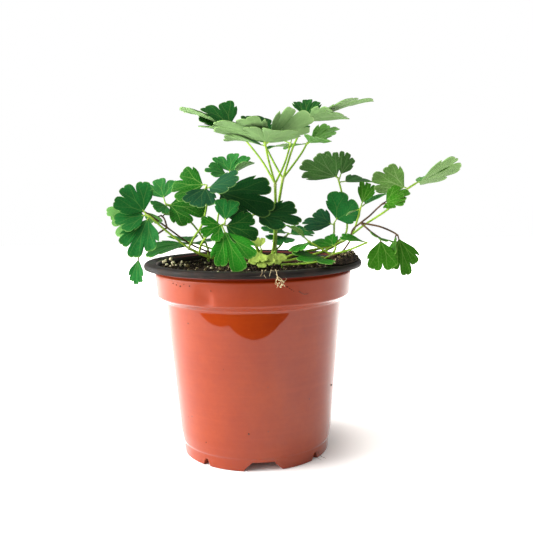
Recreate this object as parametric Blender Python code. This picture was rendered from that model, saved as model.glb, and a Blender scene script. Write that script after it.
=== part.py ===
"""Potted columbine: a young plant with divided leaves in a thin round nursery pot.

The constants are in millimetres and the model is built in metres.  +Z is up, the pot stands on Z = 0 with
its axis on the Z axis, and the side of the plant that faces the viewer is -Y.
"""
import math
from collections import namedtuple

import bmesh
import bpy
from mathutils import Matrix, Vector

MM = 0.001
FLAT_ANGLE = math.radians(0.05)
SHARP_ANGLE = math.radians(35)

# Pot, from the measured rim and heights
RIM_RADIUS = 65.0
POT_HEIGHT = 115.0
LIP_DROP = 3.4
LIP_PLATE = 1.4
LIP_INNER_RADIUS = 58.4
NECK_RADIUS = 57.5
COLLAR_TOP_Z = 108.7
COLLAR_TOP_RADIUS = 58.6
COLLAR_FOOT_Z = 95.7
COLLAR_FOOT_RADIUS = 57.6
BODY_TOP_Z = 92.3
BODY_TOP_RADIUS = 53.4
BODY_LOW_Z = 14.0
BODY_LOW_RADIUS = 46.2
FOOT_CREASE_Z = 7.0
FOOT_RADIUS = 44.3
WALL = 1.0
FLOOR = 1.3
POT_SIDES = 36

# Drainage channels under the floor, alternately wide and narrow; angles run from -Y towards +X
WIDE_CHANNEL_ANGLE = 5.0
WIDE_CHANNEL = (30.6, 16.4, 5.4)
NARROW_CHANNEL = (7.6, 2.4, 4.3)
CHANNEL_PITCH = 45.0
CHANNEL_INNER_RADIUS = 22.0
DRAIN_RADIUS = 3.2
DRAIN_RING_RADIUS = 33.0

# A shallow dent pressed into the collar
DENT_ANGLE = -25.0
DENT_Z = 102.0
DENT_DEPTH = 1.3

# Soil
SOIL_Z = 110.3
SOIL_GAP = 0.3
SOIL_SIDES = 30
HEAP_ANGLE = 76.0
HEAP_HALF_ANGLE = 42.0
HEAP_RADIUS = 59.0
HEAP_WIDTH = 7.0
HEAP_RISE = 8.2
HEAP_OUTER_RADIUS = 63.6

# Blades.  Lengths on the blade are shares of the reach from its base to its tip.
BLADE_THICKNESS = 0.7
BLADE_CUP = 0.2
SHOULDER = 0.72
SIDE_FLARE = 7.0
SIDE_REACH = 0.42
MIDDLE_REACH = 0.45
MIDDLE_SHARES = (-0.6, 0, 0.6)
TOOTH_STEPS = (-0.6, 0.6)
LOBE_STEPS = (-0.7, 0, 0.7)
LOBE_WIDTH_POWER = 0.6

# Stems, branches and stalks, and how deep a stem stands in the soil
STEM_RADIUS = 0.95
BRANCH_RADIUS = 0.65
THIN_RADIUS = 0.55
STALK_RADIUS = 0.4
STALK_STEP = 1.0
STEM_TAPER = 0.85
STEM_DEPTH = 7.0
STEM_HOLE_GAP = 0.4
STEM_SIDES = 5
TUBE_OVERRUN = 0.4

# A blade is a fan of round-toothed lobes.  spread is half of the fan's angle, cut and crest are the depths of
# the main clefts and of the small ones, side is the reach of the outer lobes, and teeth gives the number of
# teeth in each lobe.
Form = namedtuple("Form", "spread cut crest side teeth")
BROAD = Form(54, 0.40, 0.07, 0.92, (2, 2, 2))
DEEP = Form(56, 0.55, 0.08, 0.96, (2, 2, 2))
NARROW = Form(34, 0.30, 0.08, 0.92, (1, 2, 1))
TWIN = Form(36, 0.45, 0.07, 0.96, (2, 2))
HEART = Form(60, 0.26, 0.05, 0.97, (2, 2))
WEDGE = Form(33, 0.32, 0.07, 0.90, (2, 2, 2))
ROUND = Form(44, 0.12, 0.07, 0.96, (1, 2, 1))
LOBE = Form(27, 0.16, 0.06, 0.95, (1, 1, 1))
YOUNG = Form(56, 0.26, 0.06, 0.92, (1, 1, 1))

# A leaflet's direction from its stalk: azimuth from +X towards +Y, rise above level, length to the tip, roll
# about its midrib, form, the angle its midrib droops through, and the length of its stalk
Leaflet = namedtuple("Leaflet", "azimuth rise length roll form droop stalk", defaults=(18, 2))
# A spray is a branch through some points, with leaflets round its end
Spray = namedtuple("Spray", "route leaflets")
# A leaf is a stem out of the soil, with its sprays
Leaf = namedtuple("Leaf", "name stem_slot stem radius sprays")

GREEN_STEM = 1
BROWN_STEM = 2

LEAVES = [
    Leaf("leaf_tall_left", GREEN_STEM, [(11, 1, 113), (13, -1, 126), (14, 0, 143), (14, 0, 160)],
         STEM_RADIUS, [
        Spray([(14, 0, 160), (7, 8, 173), (-1, 15, 184), (-8, 20, 192)], [
            Leaflet(-170, 21, 27, 0, NARROW, 10, 13),
            Leaflet(147, 33, 24, -30, BROAD, 20, 8),
            Leaflet(-160, 10, 26, 0, NARROW)]),
        Spray([(14, 0, 160), (10, -9, 174), (8, -15, 184)], [
            Leaflet(-150, 18, 33, 8, BROAD),
            Leaflet(-80, 14, 25, -5, BROAD),
            Leaflet(-15, 30, 30, -35, NARROW),
            Leaflet(150, 10, 27, 5, NARROW)]),
        Spray([(14, 0, 160), (20, 4, 172), (24, 8, 184)], [
            Leaflet(140, 12, 21, -20, BROAD, 18, 6),
            Leaflet(75, 30, 20, 0, TWIN, 18, 6),
            Leaflet(-135, -5, 17, 5, NARROW)])]),
    Leaf("leaf_tall_right", GREEN_STEM, [(14, 7, 113), (14, 7, 126), (16, 8, 146), (19, 8, 163)],
         STEM_RADIUS, [
        Spray([(19, 8, 163), (14, 18, 173), (9, 26, 184), (7, 30, 189)], [
            Leaflet(85, 35, 24, 15, BROAD),
            Leaflet(155, 6, 22, -20, BROAD),
            Leaflet(20, 20, 22, 30, NARROW)]),
        Spray([(19, 8, 163), (30, 14, 177), (35, 18, 185)], [
            Leaflet(-25, 22, 21, -20, WEDGE),
            Leaflet(150, -10, 15, 0, NARROW),
            Leaflet(-70, 5, 20, -15, NARROW, 18, 5)]),
        Spray([(19, 8, 163), (25, 6, 181), (30, 6, 191), (33, 8, 197)], [
            Leaflet(-40, 3, 28, -15, NARROW),
            Leaflet(80, 38, 21, 5, WEDGE, 18, 6),
            Leaflet(-10, 18, 36, 2, BROAD, 12, 8)])]),
    Leaf("leaf_left_long", GREEN_STEM, [(3, -4, 113), (-5, -7, 113.5), (-18, -12, 116), (-28, -16, 119.5),
                                        (-37, -18, 124)], STEM_RADIUS, [
        Spray([(-37, -18, 124), (-50, -20, 135), (-57, -22, 142), (-60, -22, 144)], [
            Leaflet(165, 50, 20, -55, BROAD),
            Leaflet(-170, -8, 18, -50, BROAD),
            Leaflet(-115, -52, 27, -15, WEDGE)]),
        Spray([(-37, -18, 124), (-33, -19, 131), (-29, -19, 137), (-26, -17, 148), (-26, -14, 160)], [
            Leaflet(165, -3, 21, -50, BROAD),
            Leaflet(-110, -38, 18, -10, ROUND),
            Leaflet(-30, 8, 20, 35, ROUND)]),
        Spray([(-31, -17, 121), (-29, -21, 127), (-24, -27, 133), (-15, -37, 139)], [
            Leaflet(80, 55, 15, 10, TWIN),
            Leaflet(-150, -20, 13, -55, DEEP),
            Leaflet(5, -20, 20, 50, BROAD),
            Leaflet(-62, -48, 29, 20, WEDGE, 18, 5)])]),
    Leaf("leaf_left_brown", BROWN_STEM, [(-1, 7, 113), (-10, 8, 115), (-23, 8, 118), (-37, 5, 124),
                                         (-51, 0, 135)], THIN_RADIUS, [
        Spray([(-51, 0, 135), (-62, -5, 144), (-66, -6, 145)], [
            Leaflet(-175, 0, 18, -45, BROAD),
            Leaflet(-160, -45, 19, -45, BROAD)]),
        Spray([(-51, 0, 135), (-53, 4, 140), (-55, 5, 142)], [
            Leaflet(-130, -20, 10, -25, YOUNG, 18, 2),
            Leaflet(50, 25, 7, 25, YOUNG, 18, 2)]),
        Spray([(-51, 0, 135), (-57, -4, 131), (-64, -6, 125), (-67, -9, 119)], [
            Leaflet(-115, -76, 16, -5, NARROW)])]),
    Leaf("leaf_rear_low", GREEN_STEM, [(-29, 36, 113), (-30, 36, 121), (-36, 26, 133), (-43, 16, 142)],
         BRANCH_RADIUS, [
        Spray([(-43, 16, 142), (-50, 13, 147), (-53, 12, 149)], [
            Leaflet(110, 40, 19, -15, BROAD, 18, 5),
            Leaflet(-15, -12, 25, 45, BROAD),
            Leaflet(-120, -10, 12, -35, ROUND)])]),
    Leaf("leaf_rear_high", GREEN_STEM, [(-24, 39, 113), (-24, 38, 121), (-22, 36, 140), (-16, 33, 159)],
         BRANCH_RADIUS, [
        Spray([(-16, 33, 159), (-14, 30, 167)], [
            Leaflet(80, 40, 19, 0, DEEP),
            Leaflet(-165, 10, 15, -30, BROAD),
            Leaflet(-25, 25, 17, -5, NARROW, 18, 4)])]),
    Leaf("leaf_centre_dark", GREEN_STEM, [(6, 2, 113), (2, -2, 123), (-4, -6, 135)], STEM_RADIUS, [
        Spray([(-4, -6, 135), (-12, -6, 147), (-20, -6, 156)], [
            Leaflet(-20, -20, 35, 35, BROAD, 18, 2)]),
        Spray([(-4, -6, 135), (-4, -12, 140), (1, -15, 142.5)], [
            Leaflet(-20, -10, 26, 25, BROAD, 18, 3)])]),
    Leaf("leaf_right_upright", GREEN_STEM, [(18, 12, 113), (26, 15, 116), (36, 18, 118), (49, 20, 120)],
         STEM_RADIUS, [
        Spray([(49, 20, 120), (59, 22, 128), (59, 20, 140), (56, 16, 153), (53, 12, 163)], [
            Leaflet(-155, 18, 26, 45, WEDGE),
            Leaflet(165, 62, 18, 95, ROUND),
            Leaflet(50, 55, 17, -120, LOBE, 10, 5),
            Leaflet(35, 0, 26, 12, NARROW, 10, 5)]),
        Spray([(49, 20, 120), (51, 19, 127), (51, 16, 135)], [
            Leaflet(-30, 55, 19, 85, HEART, 18, 3),
            Leaflet(155, 5, 20, -30, BROAD)])]),
    Leaf("leaf_right_long", GREEN_STEM, [(16, -1, 113), (26, -3, 115), (41, -4, 119), (55, -4, 126)],
         STEM_RADIUS, [
        Spray([(55, -4, 126), (66, -8, 135), (79, -12, 144), (87, -14, 152), (90, -15, 156)], [
            Leaflet(175, 20, 21, 44, BROAD, 14, 2)]),
        Spray([(90, -15, 156), (95, -14, 159)], [
            Leaflet(10, 17, 29, -26, BROAD, 8, 2),
            Leaflet(35, 15, 32, -15, NARROW, 8, 3)]),
        Spray([(55, -4, 126), (60, -4, 131), (63, -3, 139), (65, -2, 146)], [
            Leaflet(45, 60, 15, 40, LOBE, 18, 2),
            Leaflet(35, 20, 18, -5, NARROW, 18, 4),
            Leaflet(175, -25, 8, 5, YOUNG, 18, 2)])]),
    Leaf("leaf_right_brown", BROWN_STEM, [(12, -6, 113), (28, -12, 115), (47, -20, 118), (55, -22, 126),
                                          (57, -22, 133), (62, -20, 137)], THIN_RADIUS, [
        Spray([(62, -20, 137), (67, -21, 141), (71, -22, 145), (74, -24, 148)], [
            Leaflet(-5, 24, 15, 30, BROAD),
            Leaflet(-45, 0, 13, 30, DEEP, 30, 3)]),
        Spray([(62, -20, 137), (72, -24, 135), (79, -26, 132), (82, -27, 130)], [
            Leaflet(-40, -76, 22, 40, WEDGE),
            Leaflet(-110, -48, 16, 55, LOBE)]),
        Spray([(62, -20, 137), (65, -25, 134), (67, -29, 132), (71, -33, 129)], [
            Leaflet(-85, -72, 19, 10, TWIN, 18, 1.5),
            Leaflet(-90, -5, 12, -22, BROAD, 18, 1.5)])]),
    Leaf("leaf_right_low", GREEN_STEM, [(17, -13, 113), (27, -20, 114), (37, -27, 116), (44, -30, 120)],
         BRANCH_RADIUS, [
        Spray([(44, -30, 120), (39, -30, 123), (31, -30, 128)], [
            Leaflet(-168, 36, 15, 5, NARROW, 18, 2),
            Leaflet(-125, -15, 15, 10, LOBE)]),
        Spray([(44, -30, 120), (46, -28, 122), (47, -26, 124)], [
            Leaflet(130, 10, 16, -15, BROAD, 18, 2)]),
        Spray([(44, -30, 120), (54, -33, 123), (63, -36, 127)], [
            Leaflet(-160, 10, 15, -15, NARROW, 18, 2)]),
        Spray([(37, -27, 116), (39, -32, 119)], [
            Leaflet(-125, 0, 22, -15, BROAD, 12, 2)])]),
    Leaf("leaf_young", GREEN_STEM, [(6, -11, 113), (5, -12, 116)], BRANCH_RADIUS, [
        Spray([(5, -12, 116), (5, -14, 122)], [
            Leaflet(120, 50, 7, -25, YOUNG, 18, 2),
            Leaflet(-115, -30, 10, -15, YOUNG),
            Leaflet(-90, -35, 12, 0, YOUNG, 18, 2)]),
        Spray([(5, -12, 116), (11, -13, 119), (13, -14, 121)], [
            Leaflet(-80, -40, 9, 0, YOUNG, 18, 2)])]),
    Leaf("leaf_back", GREEN_STEM, [(10, 11, 113), (12, 22, 116), (18, 34, 120), (21, 42, 124)],
         BRANCH_RADIUS, [
        Spray([(21, 42, 124), (24, 46, 127)], [
            Leaflet(-165, 10, 18, -15, BROAD),
            Leaflet(15, 0, 18, 15, BROAD),
            Leaflet(-115, -15, 16, -10, BROAD, 18, 5)])]),
    Leaf("leaf_left_back", GREEN_STEM, [(4, 9, 113), (-8, 14, 116), (-24, 24, 119), (-36, 28, 123)],
         BRANCH_RADIUS, [
        Spray([(-36, 28, 123), (-41, 26, 123.5)], [
            Leaflet(-155, -14, 28, -5, BROAD),
            Leaflet(112, 5, 24, 0, NARROW),
            Leaflet(-65, 0, 16, 5, YOUNG, 18, 4)])]),
]


def polar(angle, radius):
    """The point at this angle from -Y towards +X."""
    turn = math.radians(angle)
    return math.sin(turn) * radius, -math.cos(turn) * radius


def make_object(name, points, faces, slots=None, materials=()):
    """A mesh object from points in millimetres, with its faces turned outwards."""
    mesh = bpy.data.meshes.new(name)
    mesh.from_pydata([[value * MM for value in point] for point in points], [], faces)
    if slots:
        mesh.polygons.foreach_set("material_index", slots)
    for material in materials:
        mesh.materials.append(material)
    work = bmesh.new()
    work.from_mesh(mesh)
    bmesh.ops.triangulate(work, faces=work.faces)
    bmesh.ops.recalc_face_normals(work, faces=work.faces)
    work.to_mesh(mesh)
    work.free()
    thing = bpy.data.objects.new(name, mesh)
    bpy.context.scene.collection.objects.link(thing)
    return thing


def revolve(name, profile, sides, slots, materials, shape=None):
    """Turn a closed profile of (radius, z) about Z; shape may move each ring point."""
    points = []
    rings = []
    for radius, z in profile:
        start = len(points)
        count = sides if radius > 0 else 1
        for step in range(count):
            x, y = polar(step * 360 / sides, radius)
            point = (x, y, z)
            points.append(shape(point) if shape else point)
        rings.append((start, count))
    faces = []
    face_slots = []
    for index, (start, count) in enumerate(rings):
        other, other_count = rings[(index + 1) % len(rings)]
        if count == 1 and other_count == 1:
            continue
        for step in range(sides):
            after = (step + 1) % sides
            corners = [start + step % count, start + after % count,
                       other + after % other_count, other + step % other_count]
            faces.append(list(dict.fromkeys(corners)))
            face_slots.append(slots[index] if slots else 0)
    return make_object(name, points, faces, face_slots, materials)


def loft(name, sections, materials=()):
    """A closed solid through sections that have the same number of points."""
    points = [point for section in sections for point in section]
    size = len(sections[0])
    faces = []
    for index in range(len(sections) - 1):
        for corner in range(size):
            after = (corner + 1) % size
            first = index * size
            faces.append([first + corner, first + after, first + size + after, first + size + corner])
    faces.append(list(range(size)))
    faces.append([len(points) - size + corner for corner in range(size)])
    return make_object(name, points, faces, None, materials)


def combine(body, operation, others):
    """Apply a Boolean of the other objects to the body, and remove them.

    The MANIFOLD solver is the one that keeps the thin stalks and the lip whole where many pieces meet.
    """
    group = bpy.data.collections.new("group")
    bpy.context.scene.collection.children.link(group)
    for other in others:
        bpy.context.scene.collection.objects.unlink(other)
        group.objects.link(other)
    modifier = body.modifiers.new("combine", "BOOLEAN")
    modifier.operand_type = "COLLECTION"
    modifier.collection = group
    modifier.operation = operation
    modifier.solver = "MANIFOLD"
    shown = body.evaluated_get(bpy.context.evaluated_depsgraph_get())
    mesh = bpy.data.meshes.new_from_object(shown)
    body.modifiers.clear()
    body.data = mesh
    join_flat_faces(mesh)
    for other in others:
        bpy.data.objects.remove(other)
    bpy.data.collections.remove(group)


def join_flat_faces(mesh):
    """Merge the faces that lie in one plane, and split the mesh into triangles again."""
    work = bmesh.new()
    work.from_mesh(mesh)
    bmesh.ops.dissolve_limit(work, angle_limit=FLAT_ANGLE, verts=work.verts, edges=work.edges,
                             delimit={"MATERIAL"})
    bmesh.ops.triangulate(work, faces=work.faces)
    work.to_mesh(mesh)
    work.free()
    mesh.shade_smooth()
    mesh.set_sharp_from_angle(angle=SHARP_ANGLE)


def dent(point):
    """Press the collar's dent into a point of the pot's side."""
    x, y, z = point
    radius = math.hypot(x, y)
    if radius < COLLAR_FOOT_RADIUS - 2 * WALL or not 97 < z < 107:
        return point
    angle = math.degrees(math.atan2(x, -y)) - DENT_ANGLE
    depth = DENT_DEPTH * math.exp(-(angle / 4.5) ** 2 - ((z - DENT_Z) / 3.5) ** 2)
    share = 1 - depth / radius
    return x * share, y * share, z


def channel_cutters(grow):
    """The eight radial channels under the floor, made larger all round by grow."""
    cutters = []
    for index in range(8):
        low, high, height = NARROW_CHANNEL if index % 2 else WIDE_CHANNEL
        angle = WIDE_CHANNEL_ANGLE + index * CHANNEL_PITCH
        sections = []
        for radius in (CHANNEL_INNER_RADIUS - grow, FOOT_RADIUS + 6):
            half_low = math.radians(low / 2) * max(radius, CHANNEL_INNER_RADIUS) * 0.99 + grow
            half_high = math.radians(high / 2) * max(radius, CHANNEL_INNER_RADIUS) * 0.99 + grow * 0.8
            section = []
            for side, z in ((-half_low, -3), (half_low, -3), (half_low, 0), (half_high, height + grow),
                            (-half_high, height + grow), (-half_low, 0)):
                out = Vector(polar(angle, 1.0))
                across = Vector((-out.y, out.x))
                spot = out * radius + across * side
                section.append((spot.x, spot.y, z))
            sections.append(section)
        cutters.append(loft("channel", sections))
    return cutters


def rod(start, end, radius, sides=12):
    """A straight round rod."""
    return loft("rod", [ring_round(Vector(start), Vector(end) - Vector(start), radius, sides),
                        ring_round(Vector(end), Vector(end) - Vector(start), radius, sides)])


def ring_round(centre, direction, radius, sides, guide=None):
    """A ring of points round a centre, square to a direction."""
    direction = direction.normalized()
    guide = guide or (Vector((1, 0, 0)) if abs(direction.z) > 0.9 else Vector((0, 0, 1)))
    first = (guide - direction * guide.dot(direction)).normalized()
    second = direction.cross(first)
    ring = []
    for step in range(sides):
        turn = math.tau * step / sides
        ring.append(tuple(centre + (first * math.cos(turn) + second * math.sin(turn)) * radius))
    return ring


def inner_profile(gap):
    """The pot's inside, drawn in by gap, from the lip down to the floor's centre."""
    return [(LIP_INNER_RADIUS - 1.3 - gap, POT_HEIGHT - 1.2),
            (NECK_RADIUS - WALL - gap, POT_HEIGHT - 2.6),
            (NECK_RADIUS - WALL - gap, COLLAR_FOOT_Z + 0.6),
            (BODY_TOP_RADIUS - WALL - gap, BODY_TOP_Z - 0.4),
            (BODY_LOW_RADIUS - WALL - gap, BODY_LOW_Z),
            (FOOT_RADIUS - WALL - gap, FLOOR + 5),
            (FOOT_RADIUS - WALL - 1 - gap, FLOOR + gap),
            (0, FLOOR + gap)]


def build_pot(terracotta, black):
    outside = [(0, 0), (FOOT_RADIUS, 0), (FOOT_RADIUS + 0.3, FOOT_CREASE_Z),
               (FOOT_RADIUS + 0.9, FOOT_CREASE_Z + 1), (BODY_LOW_RADIUS, BODY_LOW_Z),
               (BODY_TOP_RADIUS, BODY_TOP_Z), (COLLAR_FOOT_RADIUS - 0.5, COLLAR_FOOT_Z - 0.5),
               (COLLAR_FOOT_RADIUS, COLLAR_FOOT_Z), (COLLAR_FOOT_RADIUS + 0.5, DENT_Z),
               (COLLAR_TOP_RADIUS, COLLAR_TOP_Z),
               (NECK_RADIUS, COLLAR_TOP_Z + 1), (NECK_RADIUS, POT_HEIGHT - LIP_PLATE),
               (RIM_RADIUS - 1.1, POT_HEIGHT - LIP_PLATE), (RIM_RADIUS - 1.1, POT_HEIGHT - LIP_DROP),
               (RIM_RADIUS - 0.2, POT_HEIGHT - LIP_DROP), (RIM_RADIUS, POT_HEIGHT - 1.2),
               (RIM_RADIUS - 1.2, POT_HEIGHT), (LIP_INNER_RADIUS + 1, POT_HEIGHT),
               (LIP_INNER_RADIUS, POT_HEIGHT - 0.4), (0, POT_HEIGHT - 0.4)]
    slots = [0] * 11 + [1] * (len(outside) - 11)
    pot = revolve("pot", outside, POT_SIDES, slots, (terracotta, black), dent)
    mouth = [(0, POT_HEIGHT + 4), (LIP_INNER_RADIUS, POT_HEIGHT + 4), (LIP_INNER_RADIUS, POT_HEIGHT - 0.4)]
    inside = mouth + inner_profile(0)
    cavity = revolve("cavity", inside, POT_SIDES, [1] * len(inside), (terracotta, black))
    combine(cavity, "DIFFERENCE", channel_cutters(1.2))
    cutters = channel_cutters(0)
    for index in range(0, 8, 2):
        x, y = polar(WIDE_CHANNEL_ANGLE + index * CHANNEL_PITCH, DRAIN_RING_RADIUS)
        cutters.append(rod((x, y, 1), (x, y, 9), DRAIN_RADIUS, 14))
    combine(pot, "DIFFERENCE", [cavity] + cutters)


def soil_height(x, y):
    """The soil's rough top, with the heap that has spilled over the lip."""
    radius = math.hypot(x, y)
    angle = math.degrees(math.atan2(x, -y))
    rough = 0.7 * math.sin(0.31 * x + 1.7) * math.cos(0.27 * y - 0.4)
    rough += 0.4 * math.sin(0.83 * x - 0.52 * y + 2) + 0.3 * math.cos(0.61 * x + 0.94 * y)
    off = abs(angle - HEAP_ANGLE) / HEAP_HALF_ANGLE
    heap = max(0, 1 - off ** 3) * math.exp(-((radius - HEAP_RADIUS) / HEAP_WIDTH) ** 2)
    return SOIL_Z + rough * (1 if radius < 50 else 0.6) + heap * (HEAP_RISE + 0.8 * math.sin(1.3 * x + 2 * y))


def build_soil(earth, stems):
    rings = [14, 28, 40, 49, 54, 58, 62.2]
    points = [(0, 0, soil_height(0, 0))]
    faces = []
    for radius in rings:
        for step in range(SOIL_SIDES):
            x, y = polar(step * 360 / SOIL_SIDES, radius)
            points.append((x, y, soil_height(x, y)))
    walls = [(HEAP_OUTER_RADIUS, POT_HEIGHT + 0.2), (HEAP_OUTER_RADIUS - 1, POT_HEIGHT - 2)]
    walls += inner_profile(SOIL_GAP)[2:-1]
    for radius, z in walls:
        for step in range(SOIL_SIDES):
            x, y = polar(step * 360 / SOIL_SIDES, radius)
            points.append((x, y, min(z, soil_height(x * 0.97, y * 0.97) - 0.4)))
    count = len(rings) + len(walls)
    points.append((0, 0, FLOOR + SOIL_GAP))
    for step in range(SOIL_SIDES):
        after = (step + 1) % SOIL_SIDES
        faces.append([0, 1 + step, 1 + after])
        for ring in range(count - 1):
            first = 1 + ring * SOIL_SIDES
            faces.append([first + step, first + SOIL_SIDES + step, first + SOIL_SIDES + after, first + after])
        last = 1 + (count - 1) * SOIL_SIDES
        faces.append([last + step, len(points) - 1, last + after])
    soil = make_object("soil", points, faces, None, (earth,))
    lip = [(72, POT_HEIGHT + SOIL_GAP + 0.05), (LIP_INNER_RADIUS + 0.6, POT_HEIGHT + SOIL_GAP + 0.05),
           (LIP_INNER_RADIUS - SOIL_GAP, POT_HEIGHT - 0.2)]
    lip += inner_profile(SOIL_GAP + 0.02)[:3] + [(72, COLLAR_FOOT_Z)]
    cutters = [revolve("lip_cutter", lip, SOIL_SIDES, None, ())] + channel_cutters(1.2 + SOIL_GAP)
    for (x, y, z), radius in stems:
        cutters.append(rod((x, y, z - STEM_DEPTH - 0.6), (x, y, z + 6), radius + STEM_HOLE_GAP, 6))
    combine(soil, "DIFFERENCE", cutters)


def smooth_route(route, steps):
    """Points along a smooth curve through the route's points."""
    spots = [Vector(point) for point in route]
    if len(spots) == 2:
        return spots
    padded = [2 * spots[0] - spots[1]] + spots + [2 * spots[-1] - spots[-2]]
    curve = []
    for index in range(len(spots) - 1):
        a, b, c, d = padded[index:index + 4]
        for step in range(steps):
            t = step / steps
            curve.append(0.5 * (2 * b + (c - a) * t + (2 * a - 5 * b + 4 * c - d) * t * t
                                + (3 * b - a - 3 * c + d) * t ** 3))
    curve.append(spots[-1])
    return curve


def tube(curve, start_radius, end_radius, materials, slot):
    """A closed round tube along a curve, lengthened a little at both ends."""
    ends = [curve[0] - (curve[1] - curve[0]).normalized() * TUBE_OVERRUN]
    ends += curve[1:-1] + [curve[-1] + (curve[-1] - curve[-2]).normalized() * TUBE_OVERRUN]
    sections = []
    guide = None
    for index, spot in enumerate(ends):
        before = ends[max(index - 1, 0)]
        after = ends[min(index + 1, len(ends) - 1)]
        share = index / (len(ends) - 1)
        radius = start_radius + (end_radius - start_radius) * share
        ring = ring_round(spot, after - before, radius, STEM_SIDES, guide)
        guide = (Vector(ring[0]) - spot).normalized()
        sections.append(ring)
    thing = loft("tube", sections, materials)
    thing.data.polygons.foreach_set("material_index", [slot] * len(thing.data.polygons))
    return thing


def blade_outline(form):
    """The blade's edge as (angle, reach) pairs from one side of the fan to the other."""
    lobes = len(form.teeth)
    unit = 2 * form.spread / sum(count ** LOBE_WIDTH_POWER for count in form.teeth)
    edge = -form.spread
    outline = [(edge - SIDE_FLARE, SIDE_REACH)]
    for index, count in enumerate(form.teeth):
        span = unit * count ** LOBE_WIDTH_POWER
        reach = 1.0 if lobes % 2 and index == lobes // 2 else form.side
        steps = [-1]
        for tooth in range(count):
            for t in (TOOTH_STEPS if count > 1 else LOBE_STEPS):
                steps.append((2 * tooth + 1 + t) / count - 1)
            steps.append(2 * (tooth + 1) / count - 1)
        for u in steps[(index > 0):]:
            outer = u < 0 and index == 0 or u > 0 and index == lobes - 1
            low = SHOULDER if outer else 1 - form.cut
            t = (u + 1) / 2 * count % 1 * 2 - 1
            lobe = low + (1 - low) * (1 - abs(u) ** 2.2) ** 0.6
            outline.append((edge + span * (u + 1) / 2, reach * lobe * (1 - form.crest * abs(t) ** 3)))
        edge += span
    return outline + [(edge + SIDE_FLARE, SIDE_REACH)]


def blade(joint, leaflet, materials):
    """One leaflet on its stalk: a thin solid, triangulated alike on both faces."""
    azimuth = math.radians(leaflet.azimuth)
    rise = math.radians(leaflet.rise)
    along = Vector((math.cos(azimuth) * math.cos(rise), math.sin(azimuth) * math.cos(rise), math.sin(rise)))
    up = Vector((0, 0, 1))
    normal = Matrix.Rotation(math.radians(leaflet.roll), 3, along) @ (up - along * up.dot(along)).normalized()
    across = normal.cross(along)
    droop = math.radians(leaflet.droop)
    out = along * math.cos(droop / 2) + normal * math.sin(droop / 2)
    base = joint + out * leaflet.stalk

    def place(angle, reach):
        s = reach * math.cos(math.radians(angle))
        w = reach * math.sin(math.radians(angle))
        turn = droop / 2 - droop * s
        x = (math.sin(droop / 2) - math.sin(turn)) / droop
        z = (math.cos(turn) - math.cos(droop / 2)) / droop
        lift = BLADE_CUP * w * w
        spot = along * (x - lift * math.sin(turn)) + normal * (z + lift * math.cos(turn)) + across * w
        return base + spot * leaflet.length

    outer = blade_outline(leaflet.form)
    middle = [(share * leaflet.form.spread, MIDDLE_REACH) for share in MIDDLE_SHARES]
    points = [spot + across * side * STALK_RADIUS for spot in (joint + out * 0.2, base) for side in (-1, 1)]
    points += [place(*pair) for pair in middle] + [place(*pair) for pair in outer]
    first = 4 + len(middle)
    last = len(points) - 1
    triangles = [(0, 2, 3), (0, 3, 1), (2, first, 4), (2, 4, 5), (2, 5, 3), (3, 5, 6), (3, 6, last)]
    near = 0
    for step in range(len(outer) - 1):
        centre = (outer[step][0] + outer[step + 1][0]) / 2
        nearest = min(range(len(middle)), key=lambda i: abs(middle[i][0] - centre))
        if nearest != near:
            triangles.append((4 + near, first + step, 4 + nearest))
            near = nearest
        triangles.append((4 + near, first + step, first + step + 1))
    normals = [Vector() for _ in points]
    for triangle in triangles:
        a, b, c = (points[corner] for corner in triangle)
        face = (b - a).cross(c - a)
        for corner in triangle:
            normals[corner] += face
    half = BLADE_THICKNESS / 2
    upper = [point + normals[i].normalized() * half for i, point in enumerate(points)]
    lower = [point - normals[i].normalized() * half for i, point in enumerate(points)]
    size = len(points)
    faces = [list(triangle) for triangle in triangles]
    faces += [[corner + size for corner in reversed(triangle)] for triangle in triangles]
    rim = [0, 2] + list(range(first, size)) + [3, 1]
    for index, corner in enumerate(rim):
        after = rim[(index + 1) % len(rim)]
        faces.append([corner, after, after + size])
        faces.append([corner, after + size, corner + size])
    return make_object("blade", [tuple(point) for point in upper + lower], faces, None, materials)


def build_leaf(leaf, materials):
    """A leaf: its stem, branches, stalks and blades, joined into one solid."""
    x, y, z = leaf.stem[0]
    stem = [Vector((x, y, z - STEM_DEPTH))] + smooth_route(leaf.stem, 2)
    body = tube(stem, leaf.radius, leaf.radius * STEM_TAPER, materials, leaf.stem_slot)
    body.name = leaf.name
    branch = min(leaf.radius, BRANCH_RADIUS)
    pieces = []
    for spray in leaf.sprays:
        route = smooth_route(spray.route, 1)
        pieces.append(tube(route, branch, branch * STEM_TAPER, materials, leaf.stem_slot))
        back = (route[-2] - route[-1]).normalized()
        for index, leaflet in enumerate(spray.leaflets):
            pieces.append(blade(route[-1] + back * index * STALK_STEP, leaflet, materials))
    combine(body, "UNION", pieces)


def make_material(name, colour, roughness):
    material = bpy.data.materials.new(name)
    material.use_nodes = True
    shader = material.node_tree.nodes["Principled BSDF"]
    shader.inputs["Base Color"].default_value = (*colour, 1)
    shader.inputs["Roughness"].default_value = roughness
    return material


for old in list(bpy.data.objects):
    bpy.data.objects.remove(old)

terracotta = make_material("terracotta_plastic", (0.55, 0.13, 0.06), 0.3)
black = make_material("black_plastic", (0.02, 0.017, 0.016), 0.35)
earth = make_material("potting_soil", (0.02, 0.014, 0.01), 0.95)
blade_green = make_material("columbine_leaf", (0.03, 0.16, 0.04), 0.5)
stem_green = make_material("green_stem", (0.22, 0.4, 0.06), 0.5)
stem_brown = make_material("brown_stem", (0.12, 0.08, 0.04), 0.6)

build_pot(terracotta, black)
build_soil(earth, [(leaf.stem[0], leaf.radius) for leaf in LEAVES])
for leaf in LEAVES:
    build_leaf(leaf, (blade_green, stem_green, stem_brown))
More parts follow.
